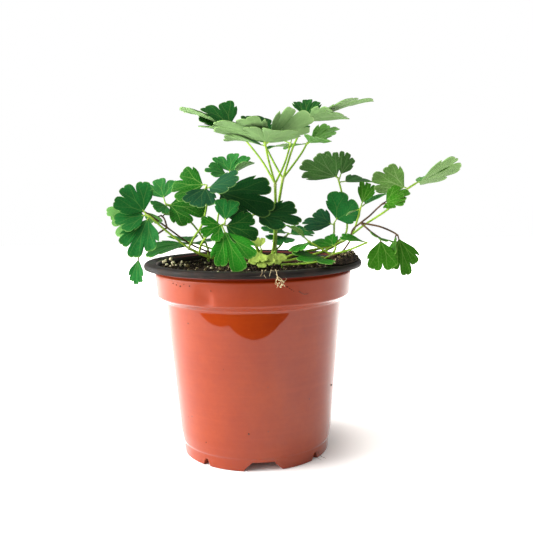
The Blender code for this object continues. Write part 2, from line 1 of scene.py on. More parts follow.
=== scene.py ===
# %% [markdown]
# # A potted columbine
# A young columbine stands in a thin nursery pot of terracotta-coloured plastic. The solid model gives every
# size. Here each of its solids gets a finer piece in the same place: a turned pot with its dent and
# channels, rough soil, and leaves whose toothed blades are thin, veined and a little uneven. The solid
# model is loaded first, because every piece is placed by it.

# %% Load the solid model
import math
import random
from collections import namedtuple

import bpy
from mathutils import Matrix, Vector


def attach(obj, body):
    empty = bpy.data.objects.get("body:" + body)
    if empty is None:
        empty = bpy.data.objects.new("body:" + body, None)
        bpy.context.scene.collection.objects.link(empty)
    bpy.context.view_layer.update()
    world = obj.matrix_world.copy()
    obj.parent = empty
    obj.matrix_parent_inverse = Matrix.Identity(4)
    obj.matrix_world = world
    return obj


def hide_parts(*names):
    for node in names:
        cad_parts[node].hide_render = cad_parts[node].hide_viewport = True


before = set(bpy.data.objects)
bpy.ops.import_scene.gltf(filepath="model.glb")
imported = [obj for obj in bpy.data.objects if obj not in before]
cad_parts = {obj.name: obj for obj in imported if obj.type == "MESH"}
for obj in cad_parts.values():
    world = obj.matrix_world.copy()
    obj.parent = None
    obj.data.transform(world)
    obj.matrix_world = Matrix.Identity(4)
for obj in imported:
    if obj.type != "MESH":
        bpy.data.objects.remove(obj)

MM = 0.001
scene = bpy.context.scene
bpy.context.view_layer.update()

# %% [markdown]
# ## Small helpers
# Node trees are built by script. One helper adds a node, sets it and links it, and gives back its output,
# so that a material reads like a sum. The same helper serves shader trees and geometry trees.

# %% Helpers for node trees
def put(tree, kind, inputs=None, out=0, **settings):
    """Add a node, set it, fill its inputs with values or links, and return one of its outputs."""
    node = tree.nodes.new(kind)
    for name, value in settings.items():
        setattr(node, name, value)
    for name, value in (inputs or {}).items():
        if isinstance(value, bpy.types.NodeSocket):
            tree.links.new(value, node.inputs[name])
        else:
            node.inputs[name].default_value = value
    return node if out is None else node.outputs[out]


def maths(tree, operation, first, second=0.0, third=0.0):
    """One step of arithmetic."""
    return put(tree, "ShaderNodeMath", {0: first, 1: second, 2: third}, operation=operation)


def product(tree, first, *others):
    """Several values multiplied."""
    for value in others:
        first = maths(tree, "MULTIPLY", first, value)
    return first


def vector_maths(tree, operation, first, second=(0, 0, 0), scale=1.0):
    """One step of arithmetic with vectors; a length or a dot product comes back as a number."""
    out = 1 if operation in ("LENGTH", "DOT_PRODUCT") else 0
    return put(tree, "ShaderNodeVectorMath", {0: first, 1: second, 3: scale}, out, operation=operation)


def xyz(tree, vector):
    """The three parts of a vector."""
    return put(tree, "ShaderNodeSeparateXYZ", {0: vector}, None).outputs


def exceeds(tree, value, limit):
    """Whether a value is over a limit."""
    return put(tree, "FunctionNodeCompare", {0: value, 1: limit}, operation="GREATER_THAN")


def logic(tree, operation, first, second):
    """Two yes-or-no values joined by AND or by OR."""
    return put(tree, "FunctionNodeBooleanMath", {0: first, 1: second}, operation=operation)


def random_vector(tree, low, high, seed):
    """A random vector for every point or copy, between two vectors."""
    return put(tree, "FunctionNodeRandomValue", {"Min": low, "Max": high, "Seed": seed},
               data_type="FLOAT_VECTOR")


def fade(tree, value, low, high, start=0.0, end=1.0):
    """A smooth change from start to end while the value goes from low to high."""
    return put(tree, "ShaderNodeMapRange", {0: value, 1: low, 2: high, 3: start, 4: end},
               interpolation_type="SMOOTHSTEP")


def mixed(tree, share, first, second):
    """Two colours mixed by a share."""
    return put(tree, "ShaderNodeMix", {0: share, 6: first, 7: second}, 2, data_type="RGBA")


def noise(tree, place, scale, detail=3.0, roughness=0.55):
    """Soft cloudy values from 0 to 1."""
    return put(tree, "ShaderNodeTexNoise", {"Vector": place, "Scale": scale, "Detail": detail,
                                            "Roughness": roughness})


def paint(red, green, blue, strength=1.0):
    """A screen colour, 0 to 255, as the linear colour that a shader takes."""
    shares = [c / 255 for c in (red, green, blue)]
    linear = [c / 12.92 if c < 0.0405 else ((c + 0.055) / 1.055) ** 2.4 for c in shares]
    return (*linear, strength)


print("helpers ready")

# %% Helpers for materials
def new_material(name):
    """An empty material with a Principled shader, and its tree."""
    material = bpy.data.materials.new(name)
    material.use_nodes = True
    tree = material.node_tree
    shader = tree.nodes["Principled BSDF"]
    return material, tree, shader


def wire(tree, shader, **sockets):
    """Fill the shader's sockets; an underscore in a name stands for a space."""
    for name, value in sockets.items():
        socket = shader.inputs[name.replace("_", " ")]
        if isinstance(value, bpy.types.NodeSocket):
            tree.links.new(value, socket)
        else:
            socket.default_value = value


def relief(tree, height, depth, strength=1.0, under=None):
    """A bump of some depth, on top of another one if given."""
    inputs = {"Height": height, "Distance": depth, "Strength": strength}
    if under is not None:
        inputs["Normal"] = under
    return put(tree, "ShaderNodeBump", inputs)


def place_on_piece(tree):
    """Where a point lies on the object, in metres."""
    return put(tree, "ShaderNodeTexCoord", None, 3)


def gritty(name, dark, light, patches, roughness, bumps, depth, strength=1.0, crisp=False):
    """A dry material: patches of two colours, crisp or soft, and fine bumps of some depth."""
    material, tree, shader = new_material(name)
    place = place_on_piece(tree)
    share = noise(tree, place, patches)
    if crisp:
        share = fade(tree, share, 0.35, 0.65)
    wire(tree, shader, Base_Color=mixed(tree, share, dark, light), Roughness=roughness,
         Normal=relief(tree, noise(tree, place, bumps), depth, strength))
    return material


# %% Helpers for pieces
def between(share, low, high):
    """The value at this share of the way from low to high."""
    return low + (high - low) * share


def new_piece(name, points, faces, materials=(), slots=None):
    """A mesh object from points in millimetres."""
    mesh = bpy.data.meshes.new(name)
    mesh.from_pydata([(x * MM, y * MM, z * MM) for x, y, z in points], [], faces)
    for material in materials:
        mesh.materials.append(material)
    if slots:
        mesh.polygons.foreach_set("material_index", slots)
    mesh.shade_smooth()
    piece = bpy.data.objects.new(name, mesh)
    scene.collection.objects.link(piece)
    return piece


def new_lines(name, lines):
    """A curve object; a line is a list of (point in millimetres, radius in millimetres)."""
    curve = bpy.data.curves.new(name, "CURVE")
    curve.dimensions = "3D"
    for line in lines:
        spline = curve.splines.new("POLY")
        spline.points.add(len(line) - 1)
        for point, (spot, radius) in zip(spline.points, line):
            point.co = (spot[0] * MM, spot[1] * MM, spot[2] * MM, 1)
            point.radius = radius * MM
    piece = bpy.data.objects.new(name, curve)
    scene.collection.objects.link(piece)
    return piece


def new_tree(name, sizes):
    """A geometry tree with a geometry input, named sizes, and a geometry output."""
    tree = bpy.data.node_groups.new(name, "GeometryNodeTree")
    tree.interface.new_socket("Geometry", in_out="INPUT", socket_type="NodeSocketGeometry")
    for label, kind in sizes.items():
        tree.interface.new_socket(label, in_out="INPUT", socket_type="NodeSocket" + kind)
    tree.interface.new_socket("Geometry", in_out="OUTPUT", socket_type="NodeSocketGeometry")
    return tree, put(tree, "NodeGroupInput", None, None).outputs


def close_tree(tree, geometry, finish):
    """End a geometry tree in real faces with their material."""
    real = put(tree, "GeometryNodeRealizeInstances", {"Geometry": geometry})
    done = put(tree, "GeometryNodeSetMaterial", {"Geometry": real, "Material": finish})
    put(tree, "NodeGroupOutput", {0: done}, None)


def grown(name, start, tree, **sizes):
    """The plain mesh object that a geometry tree makes from a starting object, which is then removed."""
    grower = start.modifiers.new(tree.name, "NODES")
    grower.node_group = tree
    for item in tree.interface.items_tree:
        label = item.name.replace(" ", "_").lower()
        if item.in_out == "INPUT" and label in sizes:
            value = sizes[label]
            grower[item.identifier] = float(value) if item.socket_type == "NodeSocketFloat" else value
    bpy.context.view_layer.update()
    made = start.evaluated_get(bpy.context.evaluated_depsgraph_get())
    mesh = bpy.data.meshes.new_from_object(made)
    mesh.name = name
    bpy.data.objects.remove(start)
    piece = bpy.data.objects.new(name, mesh)
    scene.collection.objects.link(piece)
    return piece


def settle(piece, slot, *nodes):
    """Hang a finished piece on the model, in place of its solids."""
    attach(piece, "root")
    if nodes:
        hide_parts(*nodes)
    print(piece.name, len(piece.data.polygons), "faces")


# %% [markdown]
# ## Camera, floor and light
# The photograph was taken from a little above the rim, about 42 cm away, with the pot's middle slightly
# left of the lens. The camera gets that place and the same slight tilt. The set is a white sweep: a white
# world that glows more from the left, a white floor and two soft lights. The glossy pot would show the key
# light as a hard square, so that light leaves no reflection. The pot also mirrors the edge where the white
# floor ends, so a dark card, which only reflections see, lies in front of it.

# %% Camera
CAMERA_PLACE = Vector((0, -0.424, 0.1605))
LENS = 47.77
PITCH = math.radians(6.73)
YAW = math.radians(1.09)
ROLL = math.radians(-0.92)

looking = Vector((math.sin(YAW) * math.cos(PITCH), math.cos(YAW) * math.cos(PITCH), -math.sin(PITCH)))
level = Vector((math.cos(YAW), -math.sin(YAW), 0))
right = level * math.cos(ROLL) + level.cross(looking) * math.sin(ROLL)
turn = Matrix((right, right.cross(looking), -looking)).transposed().to_4x4()
camera = bpy.data.objects.new("camera", bpy.data.cameras.new("camera"))
camera.data.lens = LENS
camera.data.clip_start = 0.01
camera.matrix_world = Matrix.Translation(CAMERA_PLACE) @ turn
scene.collection.objects.link(camera)
scene.camera = camera
print("camera at", [round(c, 3) for c in CAMERA_PLACE])

# %% World and floor
AMBIENT = 0.46
LEFT_GLOW = 4.6
LEFT = (-0.96, -0.06, 0.26)
GLOW_START = 0.45

scene.view_settings.view_transform = "Standard"
world = bpy.data.worlds.new("white_studio")
world.use_nodes = True
scene.world = world
tree = world.node_tree
sky = tree.nodes["Background"]
sky.inputs["Color"].default_value = (1, 1, 1, 1)
towards = vector_maths(tree, "DOT_PRODUCT", put(tree, "ShaderNodeTexCoord"), LEFT)
glow = fade(tree, towards, GLOW_START, 1.0, AMBIENT, LEFT_GLOW)
seen_by_camera = put(tree, "ShaderNodeLightPath")
tree.links.new(fade(tree, seen_by_camera, 0, 1, glow, 1.0), sky.inputs["Strength"])

# The paper glows a little away from the foot, far behind it and at its right, where the photograph is
# brightest. Each range of distances, in metres, says where a glow starts and where it is full.
FLOOR_HALF = 1500
ROUND_FOOT = (0.03, 0.075)
BEHIND = (0.05, 0.4)
AT_RIGHT = (0.036, 0.08)

floor_white, tree, shader = new_material("white_floor")
place = place_on_piece(tree)
paper = mixed(tree, noise(tree, place, 9), paint(250, 248, 246), paint(255, 254, 253))
part = xyz(tree, place)
lift = maths(tree, "ADD", fade(tree, vector_maths(tree, "LENGTH", place), *ROUND_FOOT, 0, 0.2),
             fade(tree, part[1], *BEHIND, 0, 0.6))
lift = maths(tree, "ADD", lift, fade(tree, part[0], *AT_RIGHT, 0, 0.3))
wire(tree, shader, Base_Color=paper, Roughness=0.9, Emission_Color=(1, 0.96, 0.9, 1), Emission_Strength=lift)
corners = [(x * FLOOR_HALF, y * FLOOR_HALF, 0) for x, y in ((-1, -1), (1, -1), (1, 1), (-1, 1))]
floor = new_piece("floor", corners, [(0, 1, 2, 3)], (floor_white,))
print("floor and world ready")

# %% Dark card that only reflections see
CARD_NEAR = 230
CARD_FAR = 400
CARD_MIDDLE = 300
CARD_SIDE = 330
CARD_NARROW = 130
CARD_FAR_LEFT = 80
CARD_TIP = 30
WING_NEAR = 90
WING_FAR = 150

card_black, tree, shader = new_material("card_black")
cloth = mixed(tree, noise(tree, place_on_piece(tree), 20), paint(20, 14, 10), paint(34, 24, 18))
wire(tree, shader, Base_Color=cloth, Roughness=0.9, Specular_IOR_Level=0.1)
card_edge = [(-CARD_SIDE, -WING_NEAR), (-CARD_NARROW, -CARD_NEAR), (CARD_NARROW, -CARD_NEAR),
             (CARD_SIDE, CARD_TIP - CARD_NEAR), (CARD_SIDE, -CARD_TIP - CARD_NEAR),
             (2 * CARD_NARROW, -CARD_FAR), (-CARD_FAR_LEFT, -CARD_FAR), (-CARD_NARROW, -CARD_MIDDLE),
             (-CARD_SIDE, -WING_FAR)]
card = new_piece("dark_card", [(x, y, 1) for x, y in card_edge], [range(len(card_edge))], (card_black,))
for rays in ("camera", "diffuse", "shadow", "transmission"):
    setattr(card, "visible_" + rays, False)

# %% Soft lights
AIM = (0, 0, 0.1)


def soft_light(name, place, size, power):
    """A square area light that looks at the middle of the plant."""
    light = bpy.data.lights.new(name, "AREA")
    light.size = size
    light.energy = power
    lamp = bpy.data.objects.new(name, light)
    lamp.location = place
    lamp.rotation_euler = (Vector(AIM) - Vector(place)).to_track_quat("-Z", "Y").to_euler()
    scene.collection.objects.link(lamp)
    return lamp


key = soft_light("key", (-0.9, -0.04, 0.42), 0.9, 22)
key.visible_glossy = False
soft_light("top", (0.1, -0.1, 1.0), 0.8, 2.4)

# %% [markdown]
# ## The pot
# A real nursery pot is moulded thin, with a lip, a collar that stacks, and channels under its foot that
# drain the water off. A turned form follows a rule, so a geometry tree sweeps half of its section round a
# circle, then cuts the channels and drain holes out of it. The dent in the collar is a soft push on the
# swept points. All sizes are in millimetres and degrees.

# %% Sizes of the pot
RIM_RADIUS = 65.0
POT_HEIGHT = 115.0
LIP_DROP = 3.4
LIP_PLATE = 1.4
LIP_INNER_RADIUS = 58.4
NECK_RADIUS = 57.5
COLLAR_TOP_Z = 108.7
COLLAR_TOP_RADIUS = 58.6
COLLAR_FOOT_Z = 95.7
COLLAR_FOOT_RADIUS = 57.6
BODY_TOP_Z = 92.3
BODY_TOP_RADIUS = 53.4
BODY_LOW_Z = 14.0
BODY_LOW_RADIUS = 46.2
FOOT_CREASE_Z = 7.0
FOOT_RADIUS = 44.3
WALL = 1.0
FLOOR = 1.3
POT_SIDES = 192

WIDE_CHANNEL_ANGLE = 5.0
WIDE_CHANNEL = (30.6, 16.4, 5.4)
NARROW_CHANNEL = (7.6, 2.4, 4.3)
CHANNEL_INNER_RADIUS = 22.0
DRAIN_RADIUS = 3.2
DRAIN_RING_RADIUS = 33.0
DENT_ANGLE = -25.0
DENT_Z = 102.0
DENT_DEPTH = 1.3


def polar(angle, radius):
    """The point at this angle from -Y towards +X."""
    turn = math.radians(angle)
    return math.sin(turn) * radius, -math.cos(turn) * radius


# %% Section of the pot, with its corners rounded
SWEEP_RADIUS = 30.0
LONG_STRETCH = 2.5
HELD_EDGE = 0.5
HELD_STEP = 8.0


def rounded(corners, size, steps=3):
    """Round each inner corner of an open line, with a curve that starts at most size before the corner."""
    points = [Vector(corners[0])]
    for before, corner, after in zip(corners, corners[1:], corners[2:]):
        corner = Vector(corner)
        back = Vector(before) - corner
        on = Vector(after) - corner
        start = corner + back * min(size / back.length, 0.4)
        end = corner + on * min(size / on.length, 0.4)
        for step in range(steps + 1):
            t = step / steps
            points.append(start * (1 - t) ** 2 + corner * 2 * t * (1 - t) + end * t * t)
    return held(points + [Vector(corners[-1])])


def held(points):
    """Split the long straight stretches, close to their ends too, so that they are shaded flat."""
    line = [points[0]]
    for start, end in zip(points, points[1:]):
        length = (end - start).length
        if length > LONG_STRETCH:
            inner = length - 2 * HELD_EDGE
            count = math.ceil(inner / HELD_STEP)
            for step in range(count + 1):
                line.append(start.lerp(end, (HELD_EDGE + inner * step / count) / length))
        line.append(end)
    return line


def section(name, corners, size):
    """A half section as a curve that a sweep of SWEEP_RADIUS turns into the form."""
    line = [((r - SWEEP_RADIUS, -z, 0), 1) for r, z in rounded(corners, size)]
    return new_lines(name, [line])


outside = [(0, 0), (FOOT_RADIUS, 0), (FOOT_RADIUS + 0.3, FOOT_CREASE_Z),
           (FOOT_RADIUS + 0.9, FOOT_CREASE_Z + 1), (BODY_LOW_RADIUS, BODY_LOW_Z),
           (BODY_TOP_RADIUS, BODY_TOP_Z), (COLLAR_FOOT_RADIUS - 0.5, COLLAR_FOOT_Z - 0.5),
           (COLLAR_FOOT_RADIUS, COLLAR_FOOT_Z), (COLLAR_FOOT_RADIUS + 0.25, 99),
           (COLLAR_FOOT_RADIUS + 0.5, DENT_Z), (COLLAR_FOOT_RADIUS + 0.7, 105),
           (COLLAR_TOP_RADIUS, COLLAR_TOP_Z),
           (NECK_RADIUS, COLLAR_TOP_Z + 1), (NECK_RADIUS, POT_HEIGHT - LIP_PLATE),
           (RIM_RADIUS - 1.1, POT_HEIGHT - LIP_PLATE), (RIM_RADIUS - 1.1, POT_HEIGHT - LIP_DROP),
           (RIM_RADIUS - 0.2, POT_HEIGHT - LIP_DROP), (RIM_RADIUS, POT_HEIGHT - 1.2),
           (RIM_RADIUS - 1.2, POT_HEIGHT), (LIP_INNER_RADIUS + 1, POT_HEIGHT),
           (LIP_INNER_RADIUS, POT_HEIGHT - 0.4), (0, POT_HEIGHT - 0.4)]
inside = [(0, POT_HEIGHT + 4), (LIP_INNER_RADIUS, POT_HEIGHT + 4), (LIP_INNER_RADIUS, POT_HEIGHT - 0.4),
          (LIP_INNER_RADIUS - 1.3, POT_HEIGHT - 1.2), (NECK_RADIUS - WALL, POT_HEIGHT - 2.6),
          (NECK_RADIUS - WALL, COLLAR_FOOT_Z + 0.6), (BODY_TOP_RADIUS - WALL, BODY_TOP_Z - 0.4),
          (BODY_LOW_RADIUS - WALL, BODY_LOW_Z), (FOOT_RADIUS - WALL, FLOOR + 5),
          (FOOT_RADIUS - WALL - 1, FLOOR), (0, FLOOR)]
pot_outside = section("pot_outside", outside, 0.9)
pot_inside = section("pot_inside", inside, 0.6)
print("points in the pot's section:", len(pot_outside.data.splines[0].points))

# %% Cutters for the channels under the foot
HUMP_WALL = 1.2


def channel(name, sizes, grow):
    """One radial channel at the front, made larger all round by grow."""
    low, high, height = sizes
    points = []
    for radius in (CHANNEL_INNER_RADIUS - grow, FOOT_RADIUS + 6):
        arc = math.radians(max(radius, CHANNEL_INNER_RADIUS) / 2) * 0.99
        half_low = low * arc + grow
        half_high = high * arc + grow * 0.8
        for side, z in ((-half_low, -3), (half_low, -3), (half_low, 0), (half_high, height + grow),
                        (-half_high, height + grow), (-half_low, 0)):
            points.append((side, -radius, z))
    faces = [(5, 4, 3, 2, 1, 0), (6, 7, 8, 9, 10, 11)]
    faces += [(i, (i + 1) % 6, (i + 1) % 6 + 6, i + 6) for i in range(6)]
    return new_piece(name, points, faces)


cutters = {}
for width, size in (("wide", WIDE_CHANNEL), ("narrow", NARROW_CHANNEL)):
    cutters[width + "_channel"] = channel(width + "_channel", size, 0)
    cutters[width + "_hump"] = channel(width + "_hump", size, HUMP_WALL)
print("channel cutters:", sorted(cutters))

# %% [markdown]
# ### The pot's plastic
# The plastic is thin and glossy, brick orange, with faint level streaks from the mould, cloudy mottling and
# a few specks of dirt. The collar is duller, with a blurry shine, and the lip is a dull black. The neck
# under the lip is darkened by painted shade. The colour varies by noise that reads Object coordinates, drawn
# out sideways for the streaks. A thin clear coat gives the body its sharp mirror, on top of a softer one.

# %% Terracotta plastic
# Heights in metres of the painted shade on the neck under the lip: where it starts and where it is full
LIP_SHADE_HEIGHTS = (0.1085, 0.111)


def terracotta_plastic(name, shine, shine_roughness):
    """Orange-brown plastic with faint rings of streaks, painted shade on the neck under the lip, and a clear
    shine on top.
    """
    material, tree, shader = new_material(name)
    place = place_on_piece(tree)
    streaks = put(tree, "ShaderNodeMapping", {"Vector": place, "Scale": (12, 12, 340)})
    cloud = noise(tree, place, 34, 5, 0.6)
    fine = noise(tree, place, 420, 4, 0.6)
    streak = noise(tree, streaks, 1.6, 4, 0.6)
    base = mixed(tree, fade(tree, cloud, 0.35, 0.7), paint(127, 40, 0), paint(135, 47, 1))
    base = mixed(tree, fade(tree, streak, 0.42, 0.75, 0, 0.15), base, paint(152, 56, 12))
    base = mixed(tree, fade(tree, fine, 0.3, 0.75, 0, 0.2), base, paint(116, 30, 4))
    # Painted shade: the neck under the lip is darkened towards a deep red-brown
    base = mixed(tree, fade(tree, xyz(tree, place)[2], *LIP_SHADE_HEIGHTS), base, paint(92, 18, 10))
    rare = noise(tree, place, 55, 1)
    speck = put(tree, "ShaderNodeTexVoronoi", {"Vector": place, "Scale": 95.0})
    speck = product(tree, fade(tree, speck, 0.05, 0.03), fade(tree, rare, 0.6, 0.66))
    base = mixed(tree, speck, base, paint(60, 36, 28))
    bumps = relief(tree, streak, 0.00004, 0.2)
    bumps = relief(tree, noise(tree, place, 90, 2, 0.4), 0.0001, 0.1, bumps)
    wire(tree, shader, Base_Color=base, Roughness=fade(tree, cloud, 0.3, 0.8, 0.28, 0.4), Normal=bumps,
         Coat_Weight=shine, Coat_Roughness=shine_roughness, Coat_IOR=1.42, Specular_IOR_Level=0.05)
    return material


terracotta = terracotta_plastic("terracotta_plastic", 1.0, 0.03)
collar_terracotta = terracotta_plastic("collar_plastic", 0.7, 0.28)
print("plastics:", terracotta.name, collar_terracotta.name)

# %% Dull black plastic of the lip
lip_black, tree, shader = new_material("lip_plastic")
place = place_on_piece(tree)
dust = noise(tree, place, 130, 5, 0.65)
scuff = noise(tree, put(tree, "ShaderNodeMapping", {"Vector": place, "Scale": (40, 40, 700)}), 1.0, 4, 0.7)
base = mixed(tree, fade(tree, dust, 0.42, 0.72), paint(14, 8, 5), paint(38, 27, 20))
base = mixed(tree, fade(tree, scuff, 0.6, 0.8, 0, 0.45), base, paint(118, 104, 90))
wire(tree, shader, Base_Color=base, Roughness=fade(tree, dust, 0.3, 0.7, 0.4, 0.65), Specular_IOR_Level=0.2,
     Normal=relief(tree, dust, 0.0002, 0.4))

# %% Geometry tree that turns and cuts the pot
HOLE_SIDES = 28
HOLE_TALL = 12.0
HOLE_MIDDLE_Z = 5.0
WELD = 0.02

tree, sizes = new_tree("turned_pot", {
    "Outside": "Object", "Inside": "Object", "Wide channel": "Object", "Narrow channel": "Object",
    "Wide hump": "Object", "Narrow hump": "Object", "Sides": "Int", "Drain radius": "Float",
    "Drain ring": "Float", "First angle": "Float", "Dent depth": "Float",
    "Body plastic": "Material", "Collar plastic": "Material", "Lip plastic": "Material"})
pot_tree = tree


def shape_of(tree, thing):
    """The geometry of an object input."""
    return put(tree, "GeometryNodeObjectInfo", {"Object": thing}, 4)


def turned(profile):
    """A profile swept round the axis, closed at its two ends on the axis."""
    circle = put(tree, "GeometryNodeCurvePrimitiveCircle", {"Resolution": sizes["Sides"],
                                                            "Radius": SWEEP_RADIUS * MM})
    swept = put(tree, "GeometryNodeCurveToMesh", {"Curve": circle, "Profile Curve": shape_of(tree, profile)})
    return put(tree, "GeometryNodeMergeByDistance", {"Geometry": swept, "Distance": WELD * MM})


def ringed(shape, turn, count=4):
    """Copies of a shape turned evenly round the axis, the first one turned by turn."""
    spots = put(tree, "GeometryNodePoints", {"Count": count})
    index = put(tree, "GeometryNodeInputIndex")
    angle = maths(tree, "MULTIPLY_ADD", index, math.tau / count, turn)
    copies = put(tree, "GeometryNodeInstanceOnPoints", {
        "Points": spots, "Instance": shape, "Rotation": put(tree, "ShaderNodeCombineXYZ", {"Z": angle})})
    return put(tree, "GeometryNodeRealizeInstances", {"Geometry": copies})


def cut(body, tools):
    """A body with other closed shapes cut out of it."""
    node = put(tree, "GeometryNodeMeshBoolean", {"Mesh 1": body}, None, operation="DIFFERENCE",
               solver="EXACT")
    for tool in tools:
        tree.links.new(tool, node.inputs["Mesh 2"])
    return node.outputs["Mesh"]


wide_turn = sizes["First angle"]
turns = {"Wide": wide_turn, "Narrow": maths(tree, "ADD", wide_turn, math.pi / 4)}
humps = [ringed(shape_of(tree, sizes[width + " hump"]), turn) for width, turn in turns.items()]
channels = [ringed(shape_of(tree, sizes[width + " channel"]), turn) for width, turn in turns.items()]
hole = put(tree, "GeometryNodeMeshCylinder", {"Vertices": HOLE_SIDES, "Radius": sizes["Drain radius"],
                                              "Depth": HOLE_TALL * MM})
hole_place = put(tree, "ShaderNodeCombineXYZ", {"Y": maths(tree, "MULTIPLY", sizes["Drain ring"], -1.0),
                                                "Z": HOLE_MIDDLE_Z * MM})
hole = put(tree, "GeometryNodeTransform", {"Geometry": hole, "Translation": hole_place})
cavity = cut(turned(sizes["Inside"]), humps)
body = cut(turned(sizes["Outside"]), [cavity, ringed(hole, wide_turn)] + channels)
print("nodes that turn and cut the pot:", len(tree.nodes))

# %% The dent, and the three plastics
# Each pair says where a part of the dent starts and where it is full: its hollow and its steep end by the
# angle from its middle, its foot and its top by the height in metres, and the wall by its radius in metres.
DENT_HOLLOW = (math.radians(-10), math.radians(-1))
DENT_STEEP_END = (math.radians(0.5), math.radians(4))
DENT_FOOT = (0.0945, 0.0965)
DENT_TOP = (0.099, 0.109)
DENT_WALL = (0.02, 0.04)

spot = put(tree, "GeometryNodeInputPosition")
x, y, z = xyz(tree, spot)
radius = vector_maths(tree, "LENGTH", vector_maths(tree, "MULTIPLY", spot, (1, 1, 0)))
turn = maths(tree, "ARCTAN2", x, maths(tree, "MULTIPLY", y, -1.0))
turn = maths(tree, "SUBTRACT", turn, math.radians(DENT_ANGLE))
depth = product(tree, fade(tree, turn, *DENT_HOLLOW), fade(tree, turn, *DENT_STEEP_END, 1, 0),
                fade(tree, z, *DENT_FOOT), fade(tree, z, *DENT_TOP, 1, 0),
                fade(tree, radius, *DENT_WALL), sizes["Dent depth"])
inwards = tuple(-Vector(polar(DENT_ANGLE, 1.0)).to_3d())
push = vector_maths(tree, "SCALE", inwards, scale=depth)

rim = logic(tree, "AND", exceeds(tree, z, (POT_HEIGHT - LIP_DROP - 0.3) * MM),
            exceeds(tree, radius, (NECK_RADIUS + 0.4) * MM))
inner = logic(tree, "AND", exceeds(tree, z, (COLLAR_FOOT_Z + 1) * MM),
              exceeds(tree, (NECK_RADIUS - 0.4) * MM, radius))
body = put(tree, "GeometryNodeStoreNamedAttribute", {
    "Geometry": body, "Name": "lip", "Value": logic(tree, "OR", rim, inner)},
    data_type="BOOLEAN", domain="FACE")
body = put(tree, "GeometryNodeSetPosition", {"Geometry": body, "Offset": push})
body = put(tree, "GeometryNodeSetShadeSmooth", {"Geometry": body})
is_lip = put(tree, "GeometryNodeInputNamedAttribute", {"Name": "lip"}, data_type="BOOLEAN")
for name, where in (("Body", True), ("Collar", exceeds(tree, z, COLLAR_FOOT_Z * MM)), ("Lip", is_lip)):
    body = put(tree, "GeometryNodeSetMaterial", {"Geometry": body, "Selection": where,
                                                 "Material": sizes[name + " plastic"]})
put(tree, "NodeGroupOutput", {0: body}, None)
print("nodes in the pot's whole tree:", len(tree.nodes))

# %% The pot
pot = grown("pot_shell", new_piece("pot_start", [(0, 0, 0)], []), pot_tree, outside=pot_outside,
            inside=pot_inside, sides=POT_SIDES, drain_radius=DRAIN_RADIUS * MM,
            drain_ring=DRAIN_RING_RADIUS * MM, first_angle=math.radians(WIDE_CHANNEL_ANGLE),
            dent_depth=DENT_DEPTH * MM, body_plastic=terracotta,
            collar_plastic=collar_terracotta, lip_plastic=lip_black, **cutters)
pot.data.set_sharp_from_angle(angle=math.radians(30))
for tool in [pot_outside, pot_inside, *cutters.values()]:
    bpy.data.objects.remove(tool)
settle(pot, "terracotta_plastic", "pot")

# %% [markdown]
# ## Soil
# The soil is dark, with a rough top and a heap that has spilled over the lip at the right. Its surface is a
# finely divided disc whose height follows the solid's rule, with two small mounds added, and it is closed
# below by the pot's inside.

# %% Potting soil
earth, tree, shader = new_material("potting_soil")
place = place_on_piece(tree)
lumps = noise(tree, place, 260, 6, 0.7)
grain = noise(tree, place, 1300, 4, 0.7)
base = mixed(tree, fade(tree, lumps, 0.4, 0.7), paint(26, 20, 16), paint(64, 50, 36))
base = mixed(tree, fade(tree, grain, 0.62, 0.72, 0, 0.8), base, paint(142, 122, 84))
bumps = relief(tree, lumps, 0.0012, 0.8)
bumps = relief(tree, grain, 0.0004, 0.8, bumps)
wire(tree, shader, Base_Color=base, Roughness=0.95, Normal=bumps, Specular_IOR_Level=0.2)

# %% Height of the soil
SOIL_Z = 110.3
SOIL_GAP = 0.3
HEAP_ANGLE = 76.0
HEAP_HALF_ANGLE = 42.0
HEAP_RADIUS = 59.0
HEAP_WIDTH = 7.0
HEAP_RISE = 8.2
HEAP_OUTER_RADIUS = 63.6
# Each mound has its place in x and y, its rise, and a spread: twice the square of its half width
MOUNDS = ((-49, 1, 2.6, 45), (0, -14, 2.2, 70))


def soil_height(x, y):
    """The soil's rough top, with the heap that has spilled over the lip."""
    radius = math.hypot(x, y)
    angle = math.degrees(math.atan2(x, -y))
    rough = 0.7 * math.sin(0.31 * x + 1.7) * math.cos(0.27 * y - 0.4)
    rough += 0.4 * math.sin(0.83 * x - 0.52 * y + 2) + 0.3 * math.cos(0.61 * x + 0.94 * y)
    off = abs(angle - HEAP_ANGLE) / HEAP_HALF_ANGLE
    heap = max(0, 1 - off ** 3) * math.exp(-((radius - HEAP_RADIUS) / HEAP_WIDTH) ** 2)
    mounds = sum(rise * math.exp(-((x - east) ** 2 + (y - north) ** 2) / spread)
                 for east, north, rise, spread in MOUNDS)
    low = rough * (1 if radius < 50 else 0.6) + mounds
    return SOIL_Z + low + heap * (HEAP_RISE + 0.8 * math.sin(1.3 * x + 2 * y))


def closed_rings(rings, first, last):
    """Faces that join rings of points, closed at a first and a last point."""
    sides = len(rings[0])
    points = [first] + [spot for ring in rings for spot in ring] + [last]
    faces = []
    for step in range(sides):
        after = (step + 1) % sides
        faces.append((0, 1 + step, 1 + after))
        for ring in range(len(rings) - 1):
            start = 1 + ring * sides
            faces.append((start + step, start + sides + step, start + sides + after, start + after))
        start = 1 + (len(rings) - 1) * sides
        faces.append((start + step, len(points) - 1, start + after))
    return points, faces


# %% Body of the soil
SOIL_SIDES = 144
SOIL_RINGS = 44
SOIL_WALL_RADIUS = NECK_RADIUS - WALL - SOIL_GAP
SOIL_FOOT_Z = 7.4
SPILL_RADIUS = 60.0
SPILL_REACH = 62.2
# The soil starts to spill this far above the lip, and has spilled in full this much higher
SPILL_START = 0.6
SPILL_SPAN = 1.2
chance = random.Random(5)


